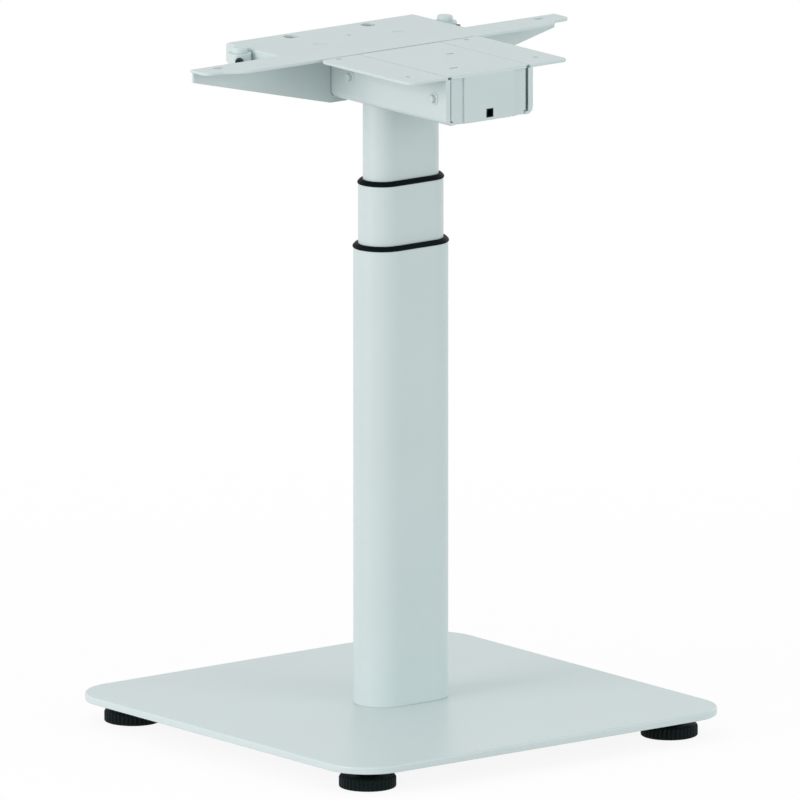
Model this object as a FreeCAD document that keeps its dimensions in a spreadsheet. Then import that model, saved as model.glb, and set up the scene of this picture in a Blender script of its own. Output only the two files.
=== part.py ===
import FreeCAD, Part
import os
import re
import Sketcher

# Single-column electric sit-stand desk frame: square base on levelling feet, a three-stage
# flat-oval lifting column and a head that takes a tabletop. Millimetres, +Z up, the floor at
# zero, the column's axis at the origin, the front of the desk towards -Y.

SIZES = {
    # Base plate and its levelling feet
    "plate_width": 500,
    "plate_thickness": 8,
    "plate_corner_radius": 50,
    "plate_edge_chamfer": 1.2,
    "plate_underside": 23,
    "foot_inset": 50,
    "foot_radius": 30,
    "foot_height": 13,
    "foot_chamfer": 2.2,
    "foot_groove_radius": 1.3,
    "foot_groove_count": 40,
    "foot_hub_radius": 11,
    "foot_hub_rise": 1,
    "foot_floor_thickness": 4,
    "stud_radius": 5,
    "stud_top_gap": 0.5,
    "foot_nut_flats": 17,
    # Column tubes, from the outer one in
    "tube_wall": 2,
    "outer_width": 110,
    "outer_depth": 60,
    "outer_length": 486.4,
    "stage_step": 5,
    "middle_exposed": 68,
    "middle_rest_gap": 74.4,
    "top_exposed": 87.6,
    "top_rest_gap": 87.6,
    "stage_travel_up": 267,
    # Guides between the tubes
    "slide_clearance": 0.3,
    "fit_gap": 0.1,
    "running_clearance": 0.08,
    "collar_sleeve_length": 50,
    "collar_lip_height": 5,
    "collar_overhang": 0.75,
    "collar_slope": 3,
    "slider_length": 40,
    # Blocks in the tubes' ends
    "column_foot_height": 12,
    "column_bolt_end_inset": 21,
    "column_bolt_side_inset": 18,
    "column_bolt_radius": 4,
    "column_bolt_head_radius": 6.5,
    "column_bolt_head_height": 7,
    "bearing_block_height": 16,
    "bearing_block_floor": 7,
    "nut_block_height": 30,
    "head_block_height": 15,
    "head_bolt_inset": 14,
    "head_bolt_radius": 4,
    "head_bolt_head_radius": 6.5,
    "head_bolt_head_height": 4,
    # Two-stage screw drive
    "nut_block_wall": 1.9,
    "nut_wall": 3,
    "hollow_screw_wall": 3,
    "hollow_screw_end_gap": 3.6,
    "hollow_screw_spare": 12,
    "fixed_screw_spare": 8,
    "fixed_screw_gap": 0.5,
    "screw_bearing_section": 5.5,
    "screw_journal_step": 0.6,
    "screw_bearing_width": 7,
    "screw_nut_length": 24,
    "upper_nut_length": 28,
    "hex_bush_length": 16,
    "drive_tube_gap": 0.76,
    "drive_tube_wall": 1.5,
    "drive_tube_spare": 4,
    "drive_journal_step": 0.2,
    # Gearbox and motor
    "wheel_radius": 18,
    "wheel_thickness": 14,
    "wheel_level": 17,
    "wheel_teeth": 24,
    "wheel_tooth_depth": 2,
    "wheel_gap_width": 2.2,
    "wheel_crown": 3,
    "wheel_pin_radius": 5,
    "wheel_bearing_radius": 15,
    "wheel_bearing_width": 7,
    "wheel_bearing_level": 6,
    "worm_radius": 5,
    "worm_clearance": 0.4,
    "worm_bore_clearance": 1.5,
    "gearbox_left": 25,
    "gearbox_right": 38,
    "gearbox_front": 30,
    "gearbox_back": 28,
    "gearbox_rise": 5,
    "gearbox_height": 33,
    "gearbox_corner_radius": 5,
    "gearbox_hub_radius": 18,
    "gearbox_lid_thickness": 4,
    "gearbox_ear_width": 16,
    "gearbox_ear_gap": 1,
    "gearbox_screw_inset": 5.5,
    "gearbox_screw_radius": 2,
    "gearbox_screw_length": 12,
    "gearbox_screw_head_radius": 3.5,
    "gearbox_screw_head_height": 2.2,
    "motor_radius": 19,
    "motor_wall": 1.5,
    "motor_length": 96,
    "motor_cap_thickness": 4,
    "motor_shaft_radius": 3,
    "rotor_radius": 11,
    "rotor_length": 48,
    "rotor_gap": 20,
    # Motor channel
    "sheet": 3,
    "head_height": 52,
    "channel_width": 115,
    "channel_bend": 8,
    "channel_front": 150,
    "channel_back": 108,
    "channel_lip": 3,
    "channel_lip_sheet": 1.2,
    "flange_width": 210,
    "flange_back": 2.5,
    "flange_corner_radius": 8,
    "flange_hole_x": 84,
    "flange_hole_front": 121,
    "flange_hole_back": 4,
    "flange_hole_radius": 3.3,
    "drive_hole_radius": 17,
    "wall_bolt_front": 130,
    "wall_bolt_drop": 25,
    "wall_bolt_radius": 3,
    "wall_bolt_length": 14,
    "wall_bolt_flange_radius": 6.8,
    "wall_bolt_flange_height": 1.2,
    "wall_bolt_head_flats": 8,
    "wall_bolt_head_height": 4.2,
    # Motor cover and its cable port
    "cover_side_gap": 5.2,
    "cover_wall": 1.5,
    "cover_front_wall": 4,
    "cover_floor_gap": 1,
    "cover_bend": 3,
    "cover_skirt_inset": 2.4,
    "cover_skirt_gap": 0.5,
    "relief_radius": 1.2,
    "relief_inner_x": 29.5,
    "relief_outer_x": 41,
    "lid_seam": 1.1,
    "panel_margin": 16,
    "panel_step": 2,
    "lid_slot_length": 11,
    "lid_slot_width": 3,
    "lid_slot_front_x": 19,
    "lid_slot_front_y": 114,
    "lid_slot_back_x": 24,
    "lid_slot_back_y": 53,
    "port_width": 9,
    "port_height": 9.2,
    "port_wall": 1.2,
    "port_depth": 14,
    "port_x": 0.5,
    # Rear plate with its arms and folds
    "plate_seam": 3,
    "arm_reach": 241,
    "arm_depth": 41.5,
    "arm_taper_length": 41,
    "arm_tip_length": 19,
    "arm_tip_width": 28,
    "arm_tip_radius": 9,
    "arm_shoulder_radius": 18,
    "arm_slot_inset": 29,
    "arm_slot_y": 36,
    "arm_slot_length": 14,
    "arm_slot_width": 7,
    "fold_span": 248,
    "fold_back": 137.5,
    "fold_relief": 3,
    "fold_depth": 20,
    "fold_bend": 2.5,
    "rear_hole_x": 51,
    "rear_hole_y": 121,
    "rear_hole_radius": 8,
    "dimple_x": 52,
    "dimple_y": 69,
    "dimple_radius": 8,
    "dimple_depth": 0.6,
    "pilot_x": 2,
    "pilot_y": 90,
    "pilot_radius": 2.5,
    "gusset_gap": 1,
    "gusset_tip_inset": 2,
    "gusset_tip_depth": 14,
    "gusset_root_depth": 57.5,
    "gusset_toe": 22,
    "gusset_toe_gap": 0.3,
    # Bosses beside the rear plate
    "boss_offset": 12,
    "boss_y": 99,
    "boss_radius": 12.5,
    "boss_bottom_drop": 27,
    "boss_top_drop": 3,
    "boss_bore_radius": 5,
    "boss_cap_radius": 8.3,
    "boss_cap_rise": 3,
    "boss_cap_stem": 8,
    "boss_cap_chamfer": 1,
    "boss_screw_drop": 10.5,
    "boss_screw_angle": 38,
    "boss_screw_radius": 3,
    "boss_screw_head_radius": 4.5,
    "boss_screw_head_height": 3.5,
    "boss_screw_socket_radius": 2,
    "boss_screw_bite": 6,
    # One overrun that carries every cut past the face it starts from
    "overrun": 5,
}

# Heights and other measures that follow from the driving sizes
DERIVED = {
    "column_base": "plate_underside + plate_thickness",
    "outer_top": "column_base + outer_length",
    "middle_width": "outer_width - 2 * stage_step",
    "middle_depth": "outer_depth - 2 * stage_step",
    "middle_top": "outer_top + middle_exposed",
    "middle_bottom": "column_base + middle_rest_gap",
    "middle_length": "middle_top - middle_bottom",
    "top_width": "middle_width - 2 * stage_step",
    "top_depth": "middle_depth - 2 * stage_step",
    "head_level": "middle_top + top_exposed",
    "top_bottom": "middle_bottom + top_rest_gap",
    "top_length": "head_level - top_bottom",
    "head_top": "head_level + head_height",
    "head_floor": "head_level + sheet",
    "plate_level": "head_top - sheet",
    "wall_inner": "channel_width / 2 - sheet",
    "cover_width": "2 * (wall_inner - cover_side_gap)",
    "panel_width": "cover_width - 2 * panel_margin",
    "skirt_reach": "cover_width / 2 - cover_skirt_inset",
    "plate_front": "flange_back + plate_seam",
    "arm_back": "plate_front + arm_depth",
    "arm_shoulder": "arm_reach - arm_taper_length",
    "arm_tip_start": "arm_reach - arm_tip_length",
    "arm_slot_x": "arm_reach - arm_slot_inset",
    "gusset_reach": "arm_reach - gusset_tip_inset",
    "fold_front": "arm_back + fold_relief",
    "boss_x": "fold_span / 2 + boss_offset",
    "foot_place": "plate_width / 2 - foot_inset",
    "hub_top": "foot_height + foot_hub_rise",
    "column_bolt_x": "outer_width / 2 - column_bolt_end_inset",
    "column_bolt_y": "outer_depth / 2 - column_bolt_side_inset",
    "head_bolt_x": "top_width / 2 - head_bolt_inset",
    "upper_nut_radius": "top_depth / 2 - tube_wall - fit_gap - nut_block_wall",
    "hollow_screw_radius": "upper_nut_radius - nut_wall",
    "hollow_screw_bore_radius": "hollow_screw_radius - hollow_screw_wall",
    "screw_journal_radius": "hollow_screw_radius - screw_journal_step",
    "screw_bearing_radius": "hollow_screw_radius + screw_bearing_section",
    "drive_tube_flats": "(hollow_screw_bore_radius - drive_tube_gap) * sqrt(3)",
    "drive_tube_bore_radius": "drive_tube_flats / 2 - drive_tube_wall",
    "drive_journal_radius": "drive_tube_flats / 2 + drive_journal_step",
    "fixed_screw_radius": "drive_tube_bore_radius - fixed_screw_gap",
    "bearing_seat": "middle_bottom + bearing_block_floor",
    "screw_shoulder": "bearing_seat + screw_bearing_width",
    "screw_bottom": "middle_bottom + hollow_screw_end_gap",
    "screw_top": "top_bottom + upper_nut_length + stage_travel_up + hollow_screw_spare",
    "hollow_screw_length": "screw_top - screw_bottom",
    "fixed_screw_top": "screw_bottom + screw_nut_length + stage_travel_up + fixed_screw_spare",
    "drive_bottom": "screw_top - hex_bush_length - stage_travel_up - drive_tube_spare",
    "wheel_bottom": "head_floor + wheel_level",
    "wheel_top": "wheel_bottom + wheel_thickness",
    "gearbox_bottom": "head_floor + gearbox_rise",
    "gearbox_top": "head_floor + gearbox_height",
    "worm_x": "wheel_radius + worm_radius + worm_clearance",
    "worm_z": "wheel_bottom + wheel_thickness / 2",
    "motor_back": "gearbox_front",
    "motor_front": "motor_back + motor_length",
    "wall_bolt_z": "head_top - wall_bolt_drop",
    "wall_bolt_back": "flange_back + gearbox_ear_gap + gearbox_ear_width / 2",
}

doc = FreeCAD.newDocument("StandingDeskFrame")
sheet = doc.addObject("Spreadsheet::Sheet", "Sizes")
NAMES = list(SIZES) + list(DERIVED)


def ref(formula):
    """A formula in size names, as an expression that reads the sheet."""
    return re.sub(r"[a-z_]+", lambda word: "Sizes." + word[0] if word[0] in NAMES else word[0], formula)


for row, name in enumerate(NAMES, start=1):
    content = str(SIZES[name]) if name in SIZES else "=" + DERIVED[name]
    sheet.set(f"A{row}", name)
    sheet.set(f"B{row}", content)
    sheet.setAlias(f"B{row}", name)
doc.recompute()

SUBPARTS = []
PLANES = {"top": "XY_Plane", "front": "XZ_Plane", "side": "YZ_Plane"}


def value(formula):
    """The number that a formula has in the sheet now."""
    return float(sheet.evalExpression(ref(formula)))


def new_body(label):
    """An empty body that is written out as one sub-part."""
    body = doc.addObject("PartDesign::Body", label)
    body.Label = label
    SUBPARTS.append(body)
    return body


def new_sketch(body, plane, offset):
    """A sketch on one of the body's own planes: top looks down at XY, front has X and Z, side Y and Z."""
    support = next(item for item in body.Origin.OriginFeatures if item.Role == PLANES[plane])
    sketch = body.newObject("Sketcher::SketchObject", body.Name + "_sketch")
    sketch.AttachmentSupport = [(support, "")]
    sketch.MapMode = "FlatFace"
    sketch.setExpression("AttachmentOffset.Base.z", ref(offset))
    return sketch


def tie(sketch, kind, geometry, point, formula):
    """Hold a point's distance from the sketch's origin at a formula's value."""
    number = sketch.addConstraint(Sketcher.Constraint(kind, -1, 1, geometry, point, value(formula)))
    sketch.setExpression(f"Constraints[{number}]", ref(formula))


def tie_radius(sketch, geometry, formula):
    """Hold a circle's or an arc's radius at a formula's value."""
    number = sketch.addConstraint(Sketcher.Constraint("Radius", geometry, value(formula)))
    sketch.setExpression(f"Constraints[{number}]", ref(formula))


def draw_polygon(sketch, corners):
    """A closed outline through corners that are pairs of formulas."""
    points = [FreeCAD.Vector(value(x), value(y), 0) for x, y in corners]
    ends = points[1:] + points[:1]
    lines = [sketch.addGeometry(Part.LineSegment(start, end)) for start, end in zip(points, ends)]
    for index, (x, y) in enumerate(corners):
        sketch.addConstraint(Sketcher.Constraint("Coincident", lines[index - 1], 2, lines[index], 1))
        tie(sketch, "DistanceX", lines[index], 1, x)
        tie(sketch, "DistanceY", lines[index], 1, y)


def draw_rectangle(sketch, left, right, low, high):
    """A rectangle between four formulas."""
    draw_polygon(sketch, [(left, low), (right, low), (right, high), (left, high)])


def draw_circle(sketch, x, y, radius):
    """A circle with its centre and radius given as formulas."""
    centre = FreeCAD.Vector(value(x), value(y), 0)
    circle = sketch.addGeometry(Part.Circle(centre, FreeCAD.Vector(0, 0, 1), value(radius)))
    tie(sketch, "DistanceX", circle, 3, x)
    tie(sketch, "DistanceY", circle, 3, y)
    tie_radius(sketch, circle, radius)


def draw_hexagon(sketch, x, y, flats):
    """A hexagon of a width across flats, with two corners on the line through its centre along x."""
    corner = f"({flats}) / sqrt(3)"
    half = f"({flats}) / 2"
    draw_polygon(sketch, [
        (f"{x} + {corner}", y),
        (f"{x} + {corner} / 2", f"{y} + {half}"),
        (f"{x} - {corner} / 2", f"{y} + {half}"),
        (f"{x} - {corner}", y),
        (f"{x} - {corner} / 2", f"{y} - {half}"),
        (f"{x} + {corner} / 2", f"{y} - {half}"),
    ])


def draw_obround(sketch, x, y, width, depth):
    """A flat oval with full-round ends, its long way along the sketch's x."""
    radius = value(f"({depth}) / 2")
    reach = value(f"({width}) / 2") - radius
    centre = FreeCAD.Vector(value(x), value(y), 0)
    normal = FreeCAD.Vector(0, 0, 1)
    right_centre = centre + FreeCAD.Vector(reach, 0, 0)
    left_centre = centre - FreeCAD.Vector(reach, 0, 0)
    up = FreeCAD.Vector(0, radius, 0)
    # The arcs run through their half turns, counter-clockwise from 270 and from 90 degrees
    quarter = FreeCAD.Units.Quantity("90 deg").getValueAs("rad").Value
    right = sketch.addGeometry(Part.ArcOfCircle(Part.Circle(right_centre, normal, radius), -quarter, quarter))
    left = sketch.addGeometry(Part.ArcOfCircle(Part.Circle(left_centre, normal, radius), quarter, 3 * quarter))
    upper = sketch.addGeometry(Part.LineSegment(right_centre + up, left_centre + up))
    lower = sketch.addGeometry(Part.LineSegment(left_centre - up, right_centre - up))
    for first, first_end, second, second_end in (
        (right, 2, upper, 1), (upper, 2, left, 1), (left, 2, lower, 1), (lower, 2, right, 1),
    ):
        sketch.addConstraint(Sketcher.Constraint("Tangent", first, first_end, second, second_end))
    sketch.addConstraint(Sketcher.Constraint("Equal", right, left))
    tie(sketch, "DistanceX", right, 3, f"{x} + ({width} - ({depth})) / 2")
    tie(sketch, "DistanceX", left, 3, f"{x} - ({width} - ({depth})) / 2")
    tie(sketch, "DistanceY", right, 3, y)
    tie(sketch, "DistanceY", left, 3, y)
    tie_radius(sketch, right, f"({depth}) / 2")


def pad(body, sketch, length, reverse=False):
    """Add the sketch's outline as a prism along its normal, or against it."""
    feature = body.newObject("PartDesign::Pad", body.Name + "_pad")
    feature.Profile = sketch
    feature.setExpression("Length", ref(length))
    feature.Reversed = reverse
    return feature


def cut(body, sketch, length, reverse=False):
    """Take the outline away, against the sketch's normal, or along it, and make sure that it cuts."""
    doc.recompute()
    before = body.Shape.Volume
    feature = body.newObject("PartDesign::Pocket", body.Name + "_cut")
    feature.Profile = sketch
    feature.setExpression("Length", ref(length))
    feature.Reversed = reverse
    doc.recompute()
    if not body.Shape.Volume < before:
        raise RuntimeError(f"a cut in {body.Label} takes nothing away")
    return feature


def dress(body, kind, size, wanted):
    """Round or chamfer the edges of the body's last feature that the test picks."""
    doc.recompute()
    last = body.Tip
    edges = [f"Edge{number}" for number, edge in enumerate(last.Shape.Edges, start=1) if wanted(edge)]
    if not edges:
        raise RuntimeError(f"no edge to dress in {body.Label}")
    feature = body.newObject("PartDesign::" + kind, body.Name + "_" + kind.lower())
    feature.Base = (last, edges)
    feature.setExpression("Radius" if kind == "Fillet" else "Size", ref(size))
    return feature


def near(number, formula):
    """True where a measured number is a formula's value."""
    return abs(number - value(formula)) < value("fit_gap / 10")


def is_line(edge):
    """True for a straight edge."""
    return isinstance(edge.Curve, (Part.Line, Part.LineSegment))


def upright_at(places):
    """A test for the upright edges at places given as pairs of formulas."""
    spots = [(value(x), value(y)) for x, y in places]
    tolerance = value("fit_gap / 10")

    def wanted(edge):
        box = edge.BoundBox
        upright = is_line(edge) and box.ZLength > max(box.XLength, box.YLength)
        return upright and any(
            abs(box.XMin - x) < tolerance and abs(box.YMin - y) < tolerance for x, y in spots
        )

    return wanted


def level_at(height):
    """A test for the edges that lie level at a height."""
    level = value(height)
    tolerance = value("fit_gap / 10")
    return lambda edge: max(abs(edge.BoundBox.ZMin - level), abs(edge.BoundBox.ZMax - level)) < tolerance


def mirrored(places):
    """Each place and its mirror image across the desk's middle."""
    return places + [(f"-({x})", y) for x, y in places]


FOUR_CORNERS = [(1, 1), (-1, 1), (-1, -1), (1, -1)]


def four_places(x, y):
    """The four places at plus and minus two formulas."""
    return [(f"{across} * {x}", f"{along} * {y}") for across, along in FOUR_CORNERS]


def prism(label, height, parts):
    """A body that stands on a height, made of outlines padded up from it in turn."""
    body = new_body(label)
    for draw, rise in parts:
        sketch = new_sketch(body, "top", height)
        draw(sketch)
        pad(body, sketch, rise)
    return body


# Base plate: one flat steel plate, its top edge broken, with four holes for the column's bolts
def make_base_plate():
    half = "plate_width / 2"
    body = prism("base_plate", "plate_underside", [
        (lambda sketch: draw_rectangle(sketch, f"-{half}", half, f"-{half}", half), "plate_thickness"),
    ])
    dress(body, "Fillet", "plate_corner_radius", upright_at(four_places(half, half)))
    dress(body, "Chamfer", "plate_edge_chamfer", level_at("column_base"))
    holes = new_sketch(body, "top", "column_base")
    for x, y in four_places("column_bolt_x", "column_bolt_y"):
        draw_circle(holes, x, y, "column_bolt_radius + fit_gap")
    cut(body, holes, "plate_thickness + overrun")


# Welded nuts under the plate's corners, one for each levelling foot
def make_foot_nuts():
    body = new_body("foot_nuts")
    sketch = new_sketch(body, "top", "plate_underside")
    for x, y in four_places("foot_place", "foot_place"):
        draw_hexagon(sketch, x, y, "foot_nut_flats")
        draw_circle(sketch, x, y, "stud_radius + running_clearance")
    pad(body, sketch, "plate_underside - hub_top", reverse=True)


# Levelling feet: a ribbed disc moulded round the foot of a threaded stud
def make_foot(number, x, y):
    disc = prism(f"foot_disc_{number}", "0", [
        (lambda sketch: draw_circle(sketch, x, y, "foot_radius"), "foot_height"),
    ])
    dress(disc, "Chamfer", "foot_chamfer", level_at("foot_height"))
    hub = new_sketch(disc, "top", "foot_height")
    draw_circle(hub, x, y, "foot_hub_radius")
    pad(disc, hub, "foot_hub_rise")
    socket = new_sketch(disc, "top", "hub_top")
    draw_circle(socket, x, y, "stud_radius + running_clearance")
    cut(disc, socket, "hub_top - foot_floor_thickness")
    groove = new_sketch(disc, "top", "hub_top")
    for turn in range(SIZES["foot_groove_count"]):
        angle = f"{turn} * 360 / foot_groove_count"
        draw_circle(groove, f"{x} + foot_radius * cos({angle})", f"{y} + foot_radius * sin({angle})",
                    "foot_groove_radius")
    cut(disc, groove, "hub_top + overrun")
    prism(f"foot_stud_{number}", "foot_floor_thickness", [
        (lambda sketch: draw_circle(sketch, x, y, "stud_radius"),
         "plate_underside - stud_top_gap - foot_floor_thickness"),
    ])


# Column tubes: drawn flat-oval steel tubes, each sliding in the one outside it
def make_tube(label, bottom, width, depth, length):
    body = new_body(label)
    sketch = new_sketch(body, "top", bottom)
    draw_obround(sketch, "0", "0", width, depth)
    draw_obround(sketch, "0", "0", f"{width} - 2 * tube_wall", f"{depth} - 2 * tube_wall")
    pad(body, sketch, length)


# Guide collars: a sleeve pressed into a tube's top, with a sloped lip that covers the tube's end
def make_collar(label, tube_top, tube_width, tube_depth, inner_width, inner_depth):
    body = new_body(label)

    def draw_guide(sketch):
        draw_obround(sketch, "0", "0", f"{inner_width} + 2 * slide_clearance",
                     f"{inner_depth} + 2 * slide_clearance")

    lip = new_sketch(body, "top", tube_top)
    draw_obround(lip, "0", "0", f"{tube_width} + 2 * collar_overhang", f"{tube_depth} + 2 * collar_overhang")
    pad(body, lip, "collar_lip_height")
    brim = value(f"{tube_depth} / 2")
    level = level_at(f"{tube_top} + collar_lip_height")
    dress(body, "Chamfer", "collar_slope", lambda edge: level(edge) and edge.BoundBox.YMax > brim)
    sleeve = new_sketch(body, "top", tube_top)
    inset = "2 * (tube_wall + fit_gap)"
    draw_obround(sleeve, "0", "0", f"{tube_width} - {inset}", f"{tube_depth} - {inset}")
    pad(body, sleeve, "collar_sleeve_length", reverse=True)
    bore = new_sketch(body, "top", f"{tube_top} + collar_lip_height + overrun")
    draw_guide(bore)
    cut(body, bore, "collar_lip_height + collar_sleeve_length + 2 * overrun")


# Sliders: plastic rings clipped round a moving tube's lower end, running in the tube outside it
def make_slider(label, bottom, tube_width, tube_depth, outside_width, outside_depth):
    body = new_body(label)
    sketch = new_sketch(body, "top", bottom)
    inset = "2 * (tube_wall + slide_clearance)"
    draw_obround(sketch, "0", "0", f"{outside_width} - {inset}", f"{outside_depth} - {inset}")
    draw_obround(sketch, "0", "0", f"{tube_width} + 2 * fit_gap", f"{tube_depth} + 2 * fit_gap")
    pad(body, sketch, "slider_length")


def draw_block(sketch, tube_width, tube_depth):
    """The outline of a block that fills a tube's inside."""
    inset = "2 * (tube_wall + fit_gap)"
    draw_obround(sketch, "0", "0", f"{tube_width} - {inset}", f"{tube_depth} - {inset}")


# Column foot: a steel block in the outer tube's bottom, tapped for the bolts through the base plate
def make_column_foot():
    body = new_body("column_foot")
    sketch = new_sketch(body, "top", "column_base")
    draw_block(sketch, "outer_width", "outer_depth")
    draw_circle(sketch, "0", "0", "fixed_screw_radius + fit_gap")
    for x, y in four_places("column_bolt_x", "column_bolt_y"):
        draw_circle(sketch, x, y, "column_bolt_radius + fit_gap")
    pad(body, sketch, "column_foot_height")
    bolts = new_body("column_bolts")
    shanks = new_sketch(bolts, "top", "plate_underside")
    heads = new_sketch(bolts, "top", "plate_underside")
    sockets = new_sketch(bolts, "top", "plate_underside - column_bolt_head_height")
    for x, y in four_places("column_bolt_x", "column_bolt_y"):
        draw_circle(shanks, x, y, "column_bolt_radius")
        draw_circle(heads, x, y, "column_bolt_head_radius")
        draw_hexagon(sockets, x, y, "column_bolt_head_radius")
    pad(bolts, shanks, "plate_thickness + column_foot_height")
    pad(bolts, heads, "column_bolt_head_height", reverse=True)
    cut(bolts, sockets, "column_bolt_head_height / 2", reverse=True)


# Fixed screw: stands in the column foot and never turns
def make_fixed_screw():
    prism("fixed_screw", "column_base", [
        (lambda sketch: draw_circle(sketch, "0", "0", "fixed_screw_radius"), "fixed_screw_top - column_base"),
    ])


# Bearing block: fills the middle tube's lower end and seats the hollow screw's bearing
def make_bearing_block():
    block = new_body("bearing_block")
    sketch = new_sketch(block, "top", "middle_bottom")
    draw_block(sketch, "middle_width", "middle_depth")
    draw_circle(sketch, "0", "0", "hollow_screw_radius + 2 * slide_clearance")
    pad(block, sketch, "bearing_block_height")
    seat = new_sketch(block, "top", "middle_bottom + bearing_block_height")
    draw_circle(seat, "0", "0", "screw_bearing_radius + fit_gap")
    cut(block, seat, "bearing_block_height - bearing_block_floor")
    bearing = new_body("screw_bearing")
    ring = new_sketch(bearing, "top", "bearing_seat")
    draw_circle(ring, "0", "0", "screw_bearing_radius")
    draw_circle(ring, "0", "0", "screw_journal_radius + running_clearance")
    pad(bearing, ring, "screw_bearing_width")


# Hollow screw: turns in the bearing block, climbs the fixed screw and lifts the top tube's nut
def make_hollow_screw():
    body = new_body("hollow_screw")
    journal = new_sketch(body, "top", "screw_bottom")
    draw_circle(journal, "0", "0", "screw_journal_radius")
    pad(body, journal, "screw_shoulder - screw_bottom")
    barrel = new_sketch(body, "top", "screw_shoulder")
    draw_circle(barrel, "0", "0", "hollow_screw_radius")
    pad(body, barrel, "screw_top - screw_shoulder")
    bore = new_sketch(body, "top", "screw_top")
    draw_circle(bore, "0", "0", "hollow_screw_bore_radius")
    cut(body, bore, "hollow_screw_length + overrun")
    nut = new_body("lower_nut")
    ring = new_sketch(nut, "top", "screw_bottom")
    draw_circle(ring, "0", "0", "hollow_screw_bore_radius - fit_gap")
    draw_circle(ring, "0", "0", "fixed_screw_radius + running_clearance")
    pad(nut, ring, "screw_nut_length")
    bush = new_body("hex_bush")
    outline = new_sketch(bush, "top", "screw_top")
    draw_circle(outline, "0", "0", "hollow_screw_bore_radius - fit_gap")
    draw_hexagon(outline, "0", "0", "drive_tube_flats + 2 * fit_gap")
    pad(bush, outline, "hex_bush_length", reverse=True)


# Nut block: fills the top tube's lower end and holds the nut on the hollow screw's outer thread
def make_nut_block():
    block = new_body("nut_block")
    sketch = new_sketch(block, "top", "top_bottom")
    draw_block(sketch, "top_width", "top_depth")
    draw_circle(sketch, "0", "0", "upper_nut_radius + fit_gap")
    pad(block, sketch, "nut_block_height")
    nut = new_body("upper_nut")
    ring = new_sketch(nut, "top", "top_bottom")
    draw_circle(ring, "0", "0", "upper_nut_radius")
    draw_circle(ring, "0", "0", "hollow_screw_radius + running_clearance")
    pad(nut, ring, "upper_nut_length")


# Head block: fills the top tube's upper end, tapped for the bolts down through the channel's floor
def make_head_block():
    block = new_body("tube_head_block")
    sketch = new_sketch(block, "top", "head_level")
    draw_block(sketch, "top_width", "top_depth")
    draw_circle(sketch, "0", "0", "hollow_screw_bore_radius + 2 * slide_clearance")
    for x in ("head_bolt_x", "-head_bolt_x"):
        draw_circle(sketch, x, "0", "head_bolt_radius + fit_gap")
    pad(block, sketch, "head_block_height", reverse=True)
    bolts = new_body("head_bolts")
    shanks = new_sketch(bolts, "top", "head_floor")
    heads = new_sketch(bolts, "top", "head_floor")
    sockets = new_sketch(bolts, "top", "head_floor + head_bolt_head_height")
    for x in ("head_bolt_x", "-head_bolt_x"):
        draw_circle(shanks, x, "0", "head_bolt_radius")
        draw_circle(heads, x, "0", "head_bolt_head_radius")
        draw_hexagon(sockets, x, "0", "head_bolt_head_radius")
    pad(bolts, shanks, "sheet + head_block_height", reverse=True)
    pad(bolts, heads, "head_bolt_head_height")
    cut(bolts, sockets, "head_bolt_head_height / 2")


# Drive tube: a hexagon tube hung from the worm wheel, sliding in the hollow screw's bush
def make_drive_tube():
    body = new_body("drive_tube")
    hexagon = new_sketch(body, "top", "drive_bottom")
    draw_hexagon(hexagon, "0", "0", "drive_tube_flats")
    pad(body, hexagon, "head_floor - drive_bottom")
    journal = new_sketch(body, "top", "head_floor")
    draw_circle(journal, "0", "0", "drive_journal_radius")
    pad(body, journal, "wheel_top - wheel_crown - fit_gap - head_floor")
    bore = new_sketch(body, "top", "wheel_top")
    draw_circle(bore, "0", "0", "drive_tube_bore_radius")
    cut(body, bore, "wheel_top - drive_bottom + overrun")


# Worm wheel: sits on the drive tube's journal, with a pin that runs in the gearbox lid
def make_worm_wheel():
    body = new_body("worm_wheel")
    rim = new_sketch(body, "top", "wheel_bottom")
    draw_circle(rim, "0", "0", "wheel_radius")
    pad(body, rim, "wheel_thickness")
    pin = new_sketch(body, "top", "wheel_top")
    draw_circle(pin, "0", "0", "wheel_pin_radius")
    pad(body, pin, "gearbox_top + gearbox_lid_thickness - wheel_top")
    bore = new_sketch(body, "top", "wheel_bottom")
    draw_circle(bore, "0", "0", "drive_journal_radius + fit_gap")
    cut(body, bore, "wheel_thickness - wheel_crown", reverse=True)
    gap = new_sketch(body, "top", "wheel_top")
    draw_rectangle(gap, "wheel_radius - wheel_tooth_depth", "wheel_radius + overrun",
                   "-wheel_gap_width / 2", "wheel_gap_width / 2")
    first = cut(body, gap, "wheel_thickness")
    ring = body.newObject("PartDesign::PolarPattern", body.Name + "_teeth")
    ring.Originals = [first]
    ring.Axis = (gap, ["N_Axis"])
    ring.Angle = 360
    ring.setExpression("Occurrences", ref("wheel_teeth"))
    body.Tip = ring
    bearing = new_body("wheel_bearing")
    race = new_sketch(bearing, "top", "head_floor + wheel_bearing_level")
    draw_circle(race, "0", "0", "wheel_bearing_radius")
    draw_circle(race, "0", "0", "drive_journal_radius + running_clearance")
    pad(bearing, race, "wheel_bearing_width")


def gearbox_screw_places():
    """The four corners where the gearbox's lid is screwed down."""
    left, right = "-gearbox_left + gearbox_screw_inset", "gearbox_right - gearbox_screw_inset"
    front, back = "-gearbox_front + gearbox_screw_inset", "gearbox_back - gearbox_screw_inset"
    return [(left, front), (right, front), (right, back), (left, back)]


def gearbox_corners():
    """The gearbox's four outer corners."""
    return [
        ("-gearbox_left", "-gearbox_front"), ("gearbox_right", "-gearbox_front"),
        ("gearbox_right", "gearbox_back"), ("-gearbox_left", "gearbox_back"),
    ]


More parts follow.
